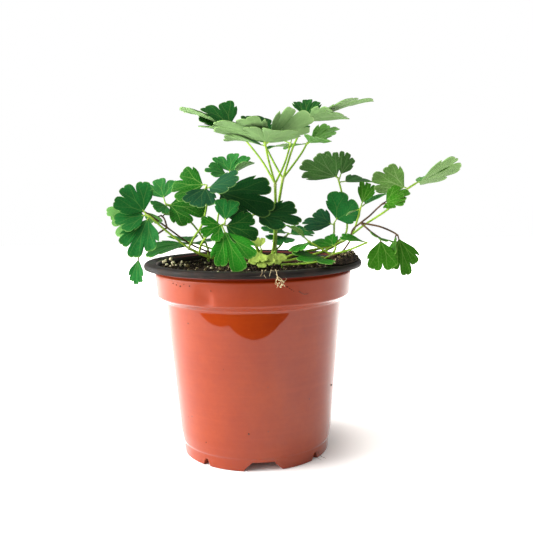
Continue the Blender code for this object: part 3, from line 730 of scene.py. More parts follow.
def soil_section(angle):
    """Points from the middle of the soil's top, out over the lip under the heap, and down the inside."""
    edge = soil_height(*polar(angle, SPILL_RADIUS))
    over = max(0.0, min(1.0, (edge - POT_HEIGHT - SPILL_START) / SPILL_SPAN))
    reach = between(over, SOIL_WALL_RADIUS - 0.3, SPILL_REACH)
    line = []
    for index in range(1, SOIL_RINGS + 1):
        x, y = polar(angle, reach * index / SOIL_RINGS)
        rough = chance.uniform(-0.4, 0.3) if index < SOIL_RINGS else 0
        line.append((x, y, soil_height(x, y) + rough))
    top = line[-1][2]
    lip = POT_HEIGHT + SOIL_GAP + 0.05
    walls = [(between(over, SOIL_WALL_RADIUS, HEAP_OUTER_RADIUS - 0.2), between(over, top - 0.3, lip + 0.1)),
             (between(over, SOIL_WALL_RADIUS, LIP_INNER_RADIUS + 0.6), between(over, top - 0.6, lip)),
             (SOIL_WALL_RADIUS, min(POT_HEIGHT - 0.8, top - 0.9)),
             (SOIL_WALL_RADIUS, COLLAR_FOOT_Z + 0.6),
             (BODY_TOP_RADIUS - WALL - SOIL_GAP, BODY_TOP_Z - 0.4),
             (BODY_LOW_RADIUS - WALL - SOIL_GAP, BODY_LOW_Z), (FOOT_RADIUS - WALL, SOIL_FOOT_Z + 0.6)]
    return line + [(*polar(angle, radius), z) for radius, z in walls]


sections = [soil_section(step * 360 / SOIL_SIDES) for step in range(SOIL_SIDES)]
points, faces = closed_rings(list(zip(*sections)), (0, 0, soil_height(0, 0)), (0, 0, SOIL_FOOT_Z))
soil = new_piece("soil_bed", points, faces, (earth,))
settle(soil, "potting_soil", "soil")

# %% [markdown]
# ### Crumbs on the soil
# Loose crumbs break up the surface: dark, brown and pale ones, well over a thousand in all. A tree scatters
# small lumps over the soil's top, turned and sized by a fixed seed, and bends each lump by noise so that no
# two look alike.

# %% Geometry tree that scatters crumbs
STEEPEST_FACING = 0.15
TOP_Z = 107.0
FULL_TURN = (6.28, 6.28, 6.28)
BEND = 1.2

tree, sizes = new_tree("scattered_crumbs", {"Ground": "Object", "Density": "Float", "Smallest": "Float",
                                            "Largest": "Float", "Seed": "Int", "Finish": "Material"})
crumb_tree = tree
facing = xyz(tree, put(tree, "GeometryNodeInputNormal"))[2]
height = xyz(tree, put(tree, "GeometryNodeInputPosition"))[2]
soil_top = logic(tree, "AND", exceeds(tree, facing, STEEPEST_FACING), exceeds(tree, height, TOP_Z * MM))
spots = put(tree, "GeometryNodeDistributePointsOnFaces", {
    "Mesh": shape_of(tree, sizes["Ground"]), "Selection": soil_top, "Density": sizes["Density"],
    "Seed": sizes["Seed"]})
share = maths(tree, "POWER", put(tree, "FunctionNodeRandomValue", {"Seed": 3}, 1), 3.0)
span = maths(tree, "SUBTRACT", sizes["Largest"], sizes["Smallest"])
size = maths(tree, "MULTIPLY_ADD", share, span, sizes["Smallest"])
stretch = random_vector(tree, (0.6, 0.6, 0.5), (1.3, 1.1, 0.9), 4)
crumbs = put(tree, "GeometryNodeInstanceOnPoints", {
    "Points": spots, "Instance": put(tree, "GeometryNodeMeshIcoSphere", {"Radius": 1.0, "Subdivisions": 1}),
    "Rotation": random_vector(tree, (0, 0, 0), FULL_TURN, 5),
    "Scale": vector_maths(tree, "SCALE", stretch, scale=size)})
crumbs = put(tree, "GeometryNodeRealizeInstances", {"Geometry": crumbs})
shift = put(tree, "ShaderNodeTexNoise", {"Scale": 900.0, "Detail": 1.0}, 1)
shift = vector_maths(tree, "SUBTRACT", shift, (0.5, 0.5, 0.5))
shift = vector_maths(tree, "SCALE", shift, scale=BEND * MM)
crumbs = put(tree, "GeometryNodeSetPosition", {"Geometry": crumbs, "Offset": shift})
close_tree(tree, crumbs, sizes["Finish"])
print("nodes in the crumbs' tree:", len(tree.nodes))

# %% Dark, brown and pale crumbs
pale_crumb = gritty("pale_crumbs", paint(120, 98, 60), paint(214, 200, 160), 500, 0.9, 1500, 0.0003)
brown_crumb = gritty("brown_crumbs", paint(48, 36, 22), paint(104, 90, 52), 400, 0.9, 1500, 0.0003,
                     crisp=True)

# Name, crumbs to a square metre, smallest and largest size, seed and material
CRUMBS = (("dark_crumbs", 150000, 0.5, 2.2, 11, earth), ("brown_crumbs", 60000, 0.35, 1.6, 13, brown_crumb),
          ("pale_crumbs", 45000, 0.25, 1.0, 12, pale_crumb))
for name, density, low, high, seed, finish in CRUMBS:
    crumbs = grown(name, new_piece("crumb_start", [(0, 0, 0)], []), crumb_tree, ground=soil, density=density,
                   smallest=low * MM, largest=high * MM, seed=seed, finish=finish)
    settle(crumbs, "potting_soil")

# %% [markdown]
# ## Leaves
# A columbine leaf stands on a long thin stem that forks into branches, each with leaflets on short stalks.
# A leaflet is a fan of round-toothed lobes. The table is the solid model's own, with stems and branches as
# routes in millimetres, and has a tone for the leaflets as well. A form gives a leaflet's half spread in
# degrees, how deep its lobes are cut, how deep its teeth are, how long its side lobes are, and the teeth of
# each lobe.

# %% Forms and tones of the leaflets
Form = namedtuple("Form", "spread cut crest side teeth")
BROAD = Form(54, 0.30, 0.06, 0.90, (2, 2, 2))
DEEP = Form(56, 0.42, 0.07, 0.94, (2, 2, 2))
NARROW = Form(34, 0.22, 0.06, 0.90, (1, 2, 1))
TWIN = Form(36, 0.22, 0.05, 0.96, (2, 2))
HEART = Form(60, 0.20, 0.04, 0.97, (2, 2))
WEDGE = Form(35, 0.22, 0.05, 0.84, (2, 2, 2))
TONGUE = Form(22, 0.08, 0.05, 0.92, (1, 1, 1))
ROUND = Form(44, 0.12, 0.07, 0.96, (1, 2, 1))
LOBE = Form(27, 0.16, 0.06, 0.95, (1, 1, 1))
YOUNG = Form(56, 0.26, 0.06, 0.92, (1, 1, 1))

# The colours of a leaflet's upper and under side, and how much its veins stand out
Tone = namedtuple("Tone", "upper under veins")
DARK = Tone((5, 50, 18), (50, 96, 58), 0.1)
DEEP_GREEN = Tone((8, 66, 18), (122, 158, 98), 0.2)
MOSSY = Tone((16, 72, 24), (92, 152, 62), 0.25)
BLUISH = Tone((18, 84, 32), (88, 142, 76), 0.15)
GREYISH = Tone((14, 60, 34), (76, 116, 78), 0.12)
LIGHT = Tone((34, 100, 42), (96, 146, 80), 0.25)
BRIGHT = Tone((22, 96, 14), (76, 114, 50), 0.3)
FRESH = Tone((38, 92, 12), (70, 116, 30), 0.3)
PALE = Tone((84, 132, 66), (104, 138, 80), 0.2)
OLIVE = Tone((46, 94, 40), (62, 104, 48), 0.2)
RICH = Tone((8, 74, 6), (50, 104, 34), 0.35)
TENDER = Tone((182, 206, 96), (188, 212, 110), 0.6)

Leaflet = namedtuple("Leaflet", "azimuth rise length roll form droop stalk tone", defaults=(18, 2, None))
Spray = namedtuple("Spray", "route leaflets")
Leaf = namedtuple("Leaf", "name tone brown radius stem sprays")
STEM_RADIUS = 0.95
BRANCH_RADIUS = 0.65
THIN_RADIUS = 0.55
print("a broad leaflet:", BROAD)

# %% Leaves of the left side
# One row for each leaf: name, tone, brown stem or not, stem radius, the stem's route, and its sprays. A
# spray has its branch's route, then its leaflets: azimuth, rise, length, roll, form, and, where they differ
# from the usual ones, droop, stalk and tone.
LEFT_LEAVES = [
    ("leaf_tall_left", DEEP_GREEN, False, STEM_RADIUS,
     [(11, 1, 113), (13, -1, 126), (14, 0, 143), (14, 0, 160)],
     ([(14, 0, 160), (7, 8, 173), (-1, 15, 184), (-8, 20, 192)], (-170, 21, 27, 0, NARROW, 10, 13),
     (147, 33, 24, -30, BROAD, 20, 8), (-160, 10, 26, 0, NARROW)),
     ([(14, 0, 160), (10, -9, 174), (8, -15, 184)], (-150, 18, 33, 8, BROAD), (-80, 14, 25, -5, BROAD),
     (-15, 30, 30, -35, NARROW), (150, 10, 27, 5, NARROW)),
     ([(14, 0, 160), (20, 4, 172), (24, 8, 184)], (140, 12, 21, -20, BROAD, 18, 6),
     (75, 30, 20, 0, TWIN, 18, 6), (-135, -5, 17, 5, NARROW))),
    ("leaf_tall_right", DEEP_GREEN, False, STEM_RADIUS,
     [(14, 7, 113), (14, 7, 126), (16, 8, 146), (19, 8, 163)],
     ([(19, 8, 163), (14, 18, 173), (9, 26, 184), (7, 30, 189)], (85, 35, 24, 15, BROAD),
     (155, 6, 22, -20, BROAD), (20, 20, 22, 30, NARROW)),
     ([(19, 8, 163), (30, 14, 177), (35, 18, 185)], (-25, 22, 21, -20, WEDGE, 18, 2, MOSSY),
     (150, -10, 15, 0, NARROW, 18, 2, MOSSY), (-70, 5, 20, -15, NARROW, 18, 5, MOSSY)),
     ([(19, 8, 163), (25, 6, 181), (30, 6, 191), (33, 8, 197)], (-40, 3, 28, -15, NARROW),
     (80, 38, 21, 5, WEDGE, 18, 6), (-10, 18, 36, 2, BROAD, 12, 8))),
    ("leaf_left_long", BLUISH, False, STEM_RADIUS,
     [(3, -4, 113), (-5, -7, 113.5), (-18, -12, 116), (-28, -16, 119.5), (-37, -18, 124)],
     ([(-37, -18, 124), (-50, -20, 135), (-57, -22, 142), (-60, -22, 144)], (165, 50, 20, -55, BROAD),
     (-170, -8, 18, -50, BROAD), (-115, -52, 27, -15, WEDGE)),
     ([(-37, -18, 124), (-33, -19, 131), (-29, -19, 137), (-26, -17, 148), (-26, -14, 160)],
     (165, -3, 21, -50, BROAD, 18, 2, RICH), (-110, -38, 18, -10, ROUND, 18, 2, GREYISH),
     (-30, 8, 20, 35, ROUND, 18, 2, GREYISH)),
     ([(-31, -17, 121), (-29, -21, 127), (-24, -27, 133), (-15, -37, 139)], (80, 55, 15, 10, TWIN),
     (-150, -20, 13, -55, DEEP, 18, 2, BRIGHT), (5, -20, 20, 50, BROAD, 18, 2, DEEP_GREEN),
     (-62, -48, 29, 20, WEDGE, 18, 5, BRIGHT))),
    ("leaf_left_brown", PALE, True, THIN_RADIUS,
     [(-1, 7, 113), (-10, 8, 115), (-23, 8, 118), (-37, 5, 124), (-51, 0, 135)],
     ([(-51, 0, 135), (-62, -5, 144), (-66, -6, 145)], (-175, 0, 18, -45, BROAD),
     (-160, -45, 19, -45, BROAD)),
     ([(-51, 0, 135), (-53, 4, 140), (-55, 5, 142)], (-130, -20, 10, -25, YOUNG, 18, 2),
     (50, 25, 7, 25, YOUNG, 18, 2)),
     ([(-51, 0, 135), (-57, -4, 131), (-64, -6, 125), (-67, -9, 119)],
     (-115, -76, 16, -5, TONGUE, 18, 2, BLUISH))),
    ("leaf_rear_low", LIGHT, False, BRANCH_RADIUS,
     [(-29, 36, 113), (-30, 36, 121), (-36, 26, 133), (-43, 16, 142)],
     ([(-43, 16, 142), (-50, 13, 147), (-53, 12, 149)], (110, 40, 19, -15, BROAD, 18, 5),
     (-15, -12, 25, 45, BROAD, 18, 2, RICH), (-120, -10, 12, -35, ROUND))),
    ("leaf_rear_high", LIGHT, False, BRANCH_RADIUS,
     [(-24, 39, 113), (-24, 38, 121), (-22, 36, 140), (-16, 33, 159)],
     ([(-16, 33, 159), (-14, 30, 167)], (80, 40, 19, 0, DEEP), (-165, 10, 15, -30, BROAD),
     (-25, 25, 17, -5, NARROW, 18, 4))),
    ("leaf_left_back", DEEP_GREEN, False, BRANCH_RADIUS,
     [(4, 9, 113), (-8, 14, 116), (-24, 24, 119), (-36, 28, 123)],
     ([(-36, 28, 123), (-41, 26, 123.5)], (-155, -14, 28, -5, BROAD), (112, 5, 24, 0, NARROW),
     (-65, 0, 16, 5, YOUNG, 18, 4))),
]
print("leaves of the left side:", len(LEFT_LEAVES))

# %% Leaves of the middle and the right side
RIGHT_LEAVES = [
    ("leaf_centre_dark", DARK, False, STEM_RADIUS,
     [(6, 2, 113), (2, -2, 123), (-4, -6, 135)],
     ([(-4, -6, 135), (-12, -6, 147), (-20, -6, 156)], (-20, -20, 35, 35, BROAD, 18, 2)),
     ([(-4, -6, 135), (-4, -12, 140), (1, -15, 142.5)], (-20, -10, 26, 25, BROAD, 18, 3))),
    ("leaf_right_upright", DARK, False, STEM_RADIUS,
     [(18, 12, 113), (26, 15, 116), (36, 18, 118), (49, 20, 120)],
     ([(49, 20, 120), (59, 22, 128), (59, 20, 140), (56, 16, 153), (53, 12, 163)],
     (-155, 18, 26, 45, WEDGE, 18, 2, OLIVE), (165, 62, 18, 95, NARROW, 18, 2, OLIVE),
     (50, 55, 17, -120, LOBE, 10, 5, OLIVE), (35, 0, 26, 12, NARROW, 10, 5, OLIVE)),
     ([(49, 20, 120), (51, 19, 127), (51, 16, 135)], (-30, 55, 19, 85, HEART, 18, 3, BLUISH),
     (155, 5, 20, -30, BROAD, 18, 2, GREYISH))),
    ("leaf_right_long", BRIGHT, False, STEM_RADIUS,
     [(16, -1, 113), (26, -3, 115), (41, -4, 119), (55, -4, 126)],
     ([(55, -4, 126), (66, -8, 135), (79, -12, 144), (87, -14, 152), (90, -15, 156)],
     (175, 20, 21, 44, BROAD, 14, 2)),
     ([(90, -15, 156), (95, -14, 159)], (10, 17, 29, -26, BROAD, 8, 2, PALE),
     (35, 15, 32, -15, NARROW, 8, 3, PALE)),
     ([(55, -4, 126), (60, -4, 131), (63, -3, 139), (65, -2, 146)], (45, 60, 15, 40, LOBE, 18, 2, FRESH),
     (35, 20, 18, -5, NARROW, 18, 4, LIGHT), (175, -25, 8, 5, YOUNG, 18, 2, PALE))),
    ("leaf_right_brown", FRESH, True, THIN_RADIUS,
     [(12, -6, 113), (28, -12, 115), (47, -20, 118), (55, -22, 126), (57, -22, 133), (62, -20, 137)],
     ([(62, -20, 137), (67, -21, 141), (71, -22, 145), (74, -24, 148)], (-5, 24, 15, 30, BROAD),
     (-45, 0, 13, 30, DEEP, 30, 3)),
     ([(62, -20, 137), (72, -24, 135), (79, -26, 132), (82, -27, 130)], (-40, -76, 22, 40, WEDGE),
     (-110, -48, 16, 55, LOBE)),
     ([(62, -20, 137), (65, -25, 134), (67, -29, 132), (71, -33, 129)], (-85, -72, 19, 10, TWIN, 18, 1.5),
     (-90, -5, 12, -22, BROAD, 18, 1.5))),
    ("leaf_right_low", BRIGHT, False, BRANCH_RADIUS,
     [(17, -13, 113), (27, -20, 114), (37, -27, 116), (44, -30, 120)],
     ([(44, -30, 120), (39, -30, 123), (31, -30, 128)], (-168, 36, 15, 5, NARROW, 18, 2),
     (-125, -15, 15, 10, LOBE)),
     ([(44, -30, 120), (46, -28, 122), (47, -26, 124)], (130, 10, 16, -15, BROAD, 18, 2)),
     ([(44, -30, 120), (54, -33, 123), (63, -36, 127)], (-160, 10, 15, -15, NARROW, 18, 2)),
     ([(37, -27, 116), (39, -32, 119)], (-125, 0, 22, -15, BROAD, 12, 2))),
    ("leaf_young", TENDER, False, BRANCH_RADIUS,
     [(6, -11, 113), (5, -12, 116)],
     ([(5, -12, 116), (5, -14, 122)], (120, 50, 7, -25, YOUNG, 18, 2), (-115, -30, 10, -15, YOUNG),
     (-90, -35, 12, 0, YOUNG, 18, 2)),
     ([(5, -12, 116), (11, -13, 119), (13, -14, 121)], (-80, -40, 9, 0, YOUNG, 18, 2))),
    ("leaf_back", BLUISH, False, BRANCH_RADIUS,
     [(10, 11, 113), (12, 22, 116), (18, 34, 120), (21, 42, 124)],
     ([(21, 42, 124), (24, 46, 127)], (-165, 10, 18, -15, BROAD), (15, 0, 18, 15, BROAD),
     (-115, -15, 16, -10, BROAD, 18, 5))),
]
LEAVES = [Leaf(*row[:5], [Spray(spray[0], [Leaflet(*leaflet) for leaflet in spray[1:]])
                          for spray in row[5:]]) for row in LEFT_LEAVES + RIGHT_LEAVES]
print("leaves:", len(LEAVES), "leaflets:", sum(len(s.leaflets) for leaf in LEAVES for s in leaf.sprays))

# %% [markdown]
# ### The leaf's skin
# The upper side has a soft sheen and sunken veins, and the under side is paler and dull, with raised veins.
# Each blade carries three things for the shader: its tint, a flat map of the blade, and for every corner
# how far it lies from its lobe's middle line. From the last one the shader draws veins that fork into the
# teeth, sharp at any distance, which no point colour could do on so few faces.

# %% Leaf material
VEIN_SHARE = 0.7
VEIN_SPACING = 1.9
FLAT_UNIT = 10.0


def leaf_material(name, vein_colour, groove, roughness):
    """A leaf skin with a groove of this depth along its main veins."""
    material, tree, shader = new_material(name)
    place = place_on_piece(tree)
    tint = put(tree, "ShaderNodeAttribute", None, None, attribute_name="tint").outputs
    side, row, fork = xyz(tree, put(tree, "ShaderNodeAttribute", None, 1, attribute_name="fan"))
    reach = vector_maths(tree, "LENGTH", put(tree, "ShaderNodeUVMap", uv_map="flat"))
    fork = product(tree, fork, fade(tree, row, 0.25, 0.85))
    off = maths(tree, "ABSOLUTE", maths(tree, "SUBTRACT", maths(tree, "ABSOLUTE", side), fork))
    width = fade(tree, row, 0.1, 1.0, 0.34, 0.12)
    main = fade(tree, maths(tree, "DIVIDE", off, width), 0.35, 1.1, 1.0, 0.0)
    wobble = product(tree, noise(tree, place, 260, 2), 0.9)
    along = maths(tree, "SUBTRACT", product(tree, reach, FLAT_UNIT), product(tree, off, 0.9))
    step = maths(tree, "FRACT", maths(tree, "ADD", maths(tree, "DIVIDE", along, VEIN_SPACING), wobble))
    branch = fade(tree, maths(tree, "ABSOLUTE", maths(tree, "SUBTRACT", step, 0.5)), 0.03, 0.12, 0.45, 0.0)
    net = put(tree, "ShaderNodeTexVoronoi", {"Vector": place, "Scale": 750.0}, feature="DISTANCE_TO_EDGE")
    net = fade(tree, net, 0.03, 0.16, 0.14, 0.0)
    veins = maths(tree, "MAXIMUM", main, maths(tree, "MAXIMUM", branch, net))
    cloud = noise(tree, place, 120, 4, 0.6)
    base = put(tree, "ShaderNodeHueSaturation", {"Value": fade(tree, cloud, 0.3, 0.7, 0.86, 1.14),
                                                 "Color": tint["Color"]})
    base = mixed(tree, product(tree, veins, tint["Alpha"], VEIN_SHARE), base, vein_colour)
    base = mixed(tree, fade(tree, row, 0.965, 0.995, 0, 0.25), base, vein_colour)
    looks = {"Normal": relief(tree, maths(tree, "SUBTRACT", 1.0, main), groove, 0.5)} if groove else {}
    dull = fade(tree, cloud, 0.3, 0.7, roughness - 0.06, roughness + 0.06)
    wire(tree, shader, Base_Color=base, Roughness=dull, Specular_IOR_Level=0.05, **looks)
    return material


upper_skin = leaf_material("leaf_upper", paint(150, 190, 96), 0.0001, 0.5)
under_skin = leaf_material("leaf_under", paint(200, 222, 160), 0, 0.62)
print("skins:", upper_skin.name, under_skin.name)

# %% [markdown]
# ### Blades
# A blade is a fan of columns that run from its base to its edge. The edge has the solid's lobes, with
# shallower cuts, rounder teeth and small random losses. Plain arrays of points are used here and not a
# geometry tree, because each corner has to know its own lobe. The upper and the under skin are the same
# net, a third of a millimetre apart, joined round the rim.

# %% Edge of a blade
BLADE_CUP = 0.2
SHOULDER = 0.76
SIDE_FLARE = 13.0
SIDE_REACH = 0.46
LOBE_WIDTH_POWER = 0.6
TOOTH_PLACES = (-1, -0.9, -0.7, -0.4, -0.15, 0, 0.15, 0.4, 0.7, 0.9)
NOTCH = 1.15

Column = namedtuple("Column", "angle reach")
Lobe = namedtuple("Lobe", "half fork centre")


def fan_edge(form, chance):
    """The columns of a blade across its fan, and the lobe of each strip between two columns."""
    last = len(form.teeth) - 1
    unit = 2 * form.spread / sum(count ** LOBE_WIDTH_POWER for count in form.teeth)
    edge = -form.spread
    columns = []
    strips = []

    def add(angle, reach, lobe):
        if columns:
            strips.append(lobe)
        columns.append(Column(angle, reach))

    for number, count in enumerate(form.teeth):
        span = unit * count ** LOBE_WIDTH_POWER
        lobe = Lobe(math.radians(span / 2), {1: 0, 2: 0.5}[count], math.radians(edge + span / 2))
        if number == 0:
            for share in (0, 0.33, 0.67):
                add(edge - SIDE_FLARE * (1 - share), between(share ** 0.7, SIDE_REACH, SHOULDER), lobe)
        full = 1.0 if last % 2 == 0 and number == last // 2 else form.side
        full *= 1 - chance.uniform(0, 0.05)
        losses = [chance.uniform(0, 0.06) for _ in range(count)]
        lean = chance.uniform(-0.06, 0.06)
        places = [(2 * tooth + 1 + t) / count - 1 for tooth in range(count) for t in TOOTH_PLACES] + [1]
        for u in places[(number > 0):]:
            outer = u < 0 and number == 0 or u > 0 and number == last
            tooth = min(int((u + 1) / 2 * count), count - 1)
            t = (u + 1) / 2 * count % 1 * 2 - 1
            bow = between((1 - abs(u) ** 3.6) ** 0.6, SHOULDER if outer else 1 - form.cut, 1)
            bite = form.crest * NOTCH * abs(t) ** 5
            loss = losses[tooth] * (1 - t * t) * (1 - u * u)
            add(edge + span * (u + 1 + lean * (1 - u * u)) / 2, full * bow * (1 - bite - loss), lobe)
        edge += span
    for share in (0.33, 0.67, 1):
        add(edge + SIDE_FLARE * share, between(share ** 1.4, SHOULDER, SIDE_REACH), lobe)
    return columns, strips


# %% Surface of a blade
BLADE_THICKNESS = 0.32
# On a blade of the usual length: the depth of each lobe's gutter, the height of the edge's waves, and the
# row from which the edge curls down, with how fast it does
USUAL_LENGTH = 22.0
GUTTER = 0.5
WAVE = 0.5
CURL_START = 0.7
CURL_RATE = 11.0
ROWS = (0, 0.1, 0.22, 0.34, 0.46, 0.57, 0.67, 0.76, 0.84, 0.91, 0.96, 1.0)

# The points with their tints, the faces with their slots, and the two values of every corner
Blades = namedtuple("Blades", "points tints faces slots fans flats")


def add_blade(blades, joint, leaflet, tone, chance):
    """Add one leaflet's blade, and return its base, where its stalk ends."""
    azimuth = math.radians(leaflet.azimuth)
    rise = math.radians(leaflet.rise)
    along = Vector((math.cos(azimuth) * math.cos(rise), math.sin(azimuth) * math.cos(rise), math.sin(rise)))
    up = Vector((0, 0, 1))
    flat_normal = (up - along * up.dot(along)).normalized()
    normal = Matrix.Rotation(math.radians(leaflet.roll), 3, along) @ flat_normal
    across = normal.cross(along)
    droop = math.radians(leaflet.droop)
    out = along * math.cos(droop / 2) + normal * math.sin(droop / 2)
    base = joint + out * leaflet.stalk
    size = leaflet.length
    columns, strips = fan_edge(leaflet.form, chance)
    lean = chance.uniform(0, math.tau)
    waves = chance.uniform(3.5, 6)
    curl = chance.uniform(0.1, 0.7)

    def place(angle, reach, lift):
        s = reach * math.cos(angle)
        w = reach * math.sin(angle)
        turn = droop / 2 - droop * s
        x = (math.sin(droop / 2) - math.sin(turn)) / droop
        z = (math.cos(turn) - math.cos(droop / 2)) / droop
        lift = BLADE_CUP * w * w + lift / size
        spot = along * (x - lift * math.sin(turn)) + normal * (z + lift * math.cos(turn)) + across * w
        return base + spot * size

    first = len(blades.points)
    width = len(columns)
    for half in (BLADE_THICKNESS / 2, -BLADE_THICKNESS / 2):
        tint = paint(*(tone.upper if half > 0 else tone.under), tone.veins)
        blades.points.append(place(0, 0, half))
        blades.tints.append(tint)
        for row in ROWS[1:]:
            for index, column in enumerate(columns):
                angle = math.radians(column.angle)
                lobe = strips[min(index, width - 2)]
                u = (angle - lobe.centre) / lobe.half
                lift = GUTTER * row * row * min(u * u, 1.3) - GUTTER / 2
                lift += WAVE * math.sin(angle * waves + lean) * row ** 3
                lift -= curl * CURL_RATE * max(0, row - CURL_START) ** 2
                blades.points.append(place(angle, column.reach * row, lift * size / USUAL_LENGTH + half))
                blades.tints.append(tint)
    count = 1 + (len(ROWS) - 1) * width

    def corner(side, row, index):
        return first + side * count + (0 if row == 0 else 1 + (row - 1) * width + index)

    def add_corner(row, index, strip):
        lobe = strips[strip]
        radius = columns[index].reach * ROWS[row] * size
        angle = math.radians(columns[index].angle)
        blades.fans.extend(((angle - lobe.centre) * radius, ROWS[row], lobe.fork * lobe.half * radius))
        blades.flats.extend((radius * math.sin(angle) / FLAT_UNIT, radius * math.cos(angle) / FLAT_UNIT))

    for strip in range(width - 1):
        for row in range(len(ROWS) - 1):
            ring = [(row + 1, strip), (row + 1, strip + 1)]
            ring += [(row, strip + 1), (row, strip)] if row else [(0, strip)]
            for side in (0, 1):
                order = ring if side == 0 else ring[::-1]
                blades.faces.append([corner(side, *spot) for spot in order])
                blades.slots.append(side)
                for spot in order:
                    add_corner(*spot, strip)
    rim = [(0, 0)] + [(row, 0) for row in range(1, len(ROWS))]
    rim += [(len(ROWS) - 1, index) for index in range(1, width)]
    rim += [(row, width - 1) for row in range(len(ROWS) - 2, 0, -1)]
    for index, spot in enumerate(rim):
        after = rim[(index + 1) % len(rim)]
        blades.faces.append([corner(0, *after), corner(0, *spot), corner(1, *spot), corner(1, *after)])
        blades.slots.append(0)
        for step in (after, spot, spot, after):
            add_corner(*step, min(step[1], width - 2))
    return base, out


# %% Blades of every leaf
def blade_piece(name, blades):
    """The blades as one mesh with its tint, fan and flat map."""
    piece = new_piece(name, blades.points, blades.faces, (upper_skin, under_skin), blades.slots)
    mesh = piece.data
    colours = [c for colour in blades.tints for c in colour]
    mesh.attributes.new("tint", "FLOAT_COLOR", "POINT").data.foreach_set("color", colours)
    mesh.attributes.new("fan", "FLOAT_VECTOR", "CORNER").data.foreach_set("vector", blades.fans)
    mesh.uv_layers.new(name="flat").data.foreach_set("uv", blades.flats)
    mesh.set_sharp_from_angle(angle=math.radians(50))
    return piece


STALK_STEP = 1.0
stem_lines = {}


def smooth_route(route, steps):
    """Points along a smooth curve through the route's points."""
    spots = [Vector(point) for point in route]
    padded = [2 * spots[0] - spots[1]] + spots + [2 * spots[-1] - spots[-2]]
    curve = []
    for index in range(len(spots) - 1):
        a, b, c, d = padded[index:index + 4]
        for step in range(steps):
            t = step / steps
            curve.append(0.5 * (2 * b + (c - a) * t + (2 * a - 5 * b + 4 * c - d) * t * t
                                + (3 * b - a - 3 * c + d) * t ** 3))
    curve.append(spots[-1])
    return curve


for number, leaf in enumerate(LEAVES):
    chance = random.Random(100 + number)
    blades = Blades([], [], [], [], [], [])
    lines = []
    for spray in leaf.sprays:
        ends = [Vector(point) for point in spray.route]
        back = (ends[-2] - ends[-1]).normalized()
        for index, leaflet in enumerate(spray.leaflets):
            joint = ends[-1] + back * index * STALK_STEP
            base, out = add_blade(blades, joint, leaflet, leaflet.tone or leaf.tone, chance)
            lines.append([(joint - out * 0.3, 0.45), (joint.lerp(base, 0.5), 0.38), (base, 0.36),
                          (base + out * 1.2, 0.2)])
    stem_lines[leaf.name] = lines
    settle(blade_piece(leaf.name + "_blades", blades), "columbine_leaf", leaf.name)

# %% [markdown]
# ### Stems
# Stems, branches and stalks are round and taper a little, with a slight knuckle where they fork. Each is a
# line with a radius at every point, and one geometry tree sweeps a ring along all of them and then sets
# short soft hairs on the result.

# %% Stem materials
def stem_material(name, low, high, joint):
    """Stem skin that changes colour along the stem and is paler at the joints."""
    material, tree, shader = new_material(name)
    place = place_on_piece(tree)
    along = put(tree, "ShaderNodeAttribute", None, 2, attribute_name="along")
    base = mixed(tree, fade(tree, noise(tree, place, 160, 4), 0.35, 0.65), low, high)
    ends = maths(tree, "ABSOLUTE", maths(tree, "SUBTRACT", along, 0.5))
    base = mixed(tree, fade(tree, ends, 0.42, 0.5, 0, 0.7), base, joint)
    ridges = noise(tree, put(tree, "ShaderNodeMapping", {"Vector": place, "Scale": (1, 1, 0.12)}), 1400, 2)
    wire(tree, shader, Base_Color=base, Roughness=0.48, Normal=relief(tree, ridges, 0.0001, 0.5),
         Specular_IOR_Level=0.15)
    return material


green_stem = stem_material("green_stem", paint(112, 150, 40), paint(144, 176, 60), paint(180, 192, 116))
brown_stem = stem_material("brown_stem", paint(56, 42, 30), paint(92, 70, 48), paint(112, 92, 60))
print("stem skins:", green_stem.name, brown_stem.name)

# %% Geometry tree that sweeps stems and sets hairs
HAIR_TIP_RADIUS = 0.004
HAIR_TILT = 0.7

tree, sizes = new_tree("hairy_stems", {"Sides": "Int", "Hair density": "Float", "Hair length": "Float",
                                       "Hair radius": "Float", "Seed": "Int", "Finish": "Material"})
stem_tree = tree
lines = put(tree, "GeometryNodeStoreNamedAttribute", {
    "Geometry": sizes["Geometry"], "Name": "along", "Value": put(tree, "GeometryNodeSplineParameter")},
    data_type="FLOAT", domain="POINT")
ring = put(tree, "GeometryNodeCurvePrimitiveCircle", {"Resolution": sizes["Sides"], "Radius": 1.0})
tube = put(tree, "GeometryNodeCurveToMesh", {"Curve": lines, "Profile Curve": ring, "Fill Caps": True,
                                             "Scale": put(tree, "GeometryNodeInputRadius")})
tube = put(tree, "GeometryNodeSetShadeSmooth", {"Geometry": tube})
scatter = put(tree, "GeometryNodeDistributePointsOnFaces", {
    "Mesh": tube, "Density": sizes["Hair density"], "Seed": sizes["Seed"]}, None).outputs
tilt = random_vector(tree, (-HAIR_TILT, -HAIR_TILT, 0), (HAIR_TILT, HAIR_TILT, 0), 8)
way = put(tree, "FunctionNodeRotateRotation", {
    "Rotation": scatter["Rotation"], "Rotate By": put(tree, "FunctionNodeEulerToRotation", {0: tilt})},
    rotation_space="LOCAL")
hair = put(tree, "GeometryNodeMeshCone", {
    "Vertices": 3, "Radius Top": HAIR_TIP_RADIUS * MM, "Radius Bottom": sizes["Hair radius"],
    "Depth": sizes["Hair length"]})
hairs = put(tree, "GeometryNodeInstanceOnPoints", {"Points": scatter["Points"], "Instance": hair,
                                                   "Rotation": way})
both = put(tree, "GeometryNodeJoinGeometry", {0: tube}, None)
tree.links.new(hairs, both.inputs[0])
close_tree(tree, both.outputs[0], sizes["Finish"])
print("nodes in the stems' tree:", len(tree.nodes))

# %% Stems of every leaf
STEM_DEPTH = 7.0
STEM_TAPER = 0.85


def tapered(route, start, end, knuckle):
    """A line with radii that taper from start to end and swell a little at its end."""
    last = len(route) - 1
    line = [(spot, between(index / last, start, end)) for index, spot in enumerate(route)]
    line[-1] = (route[-1], end * knuckle)
    return line


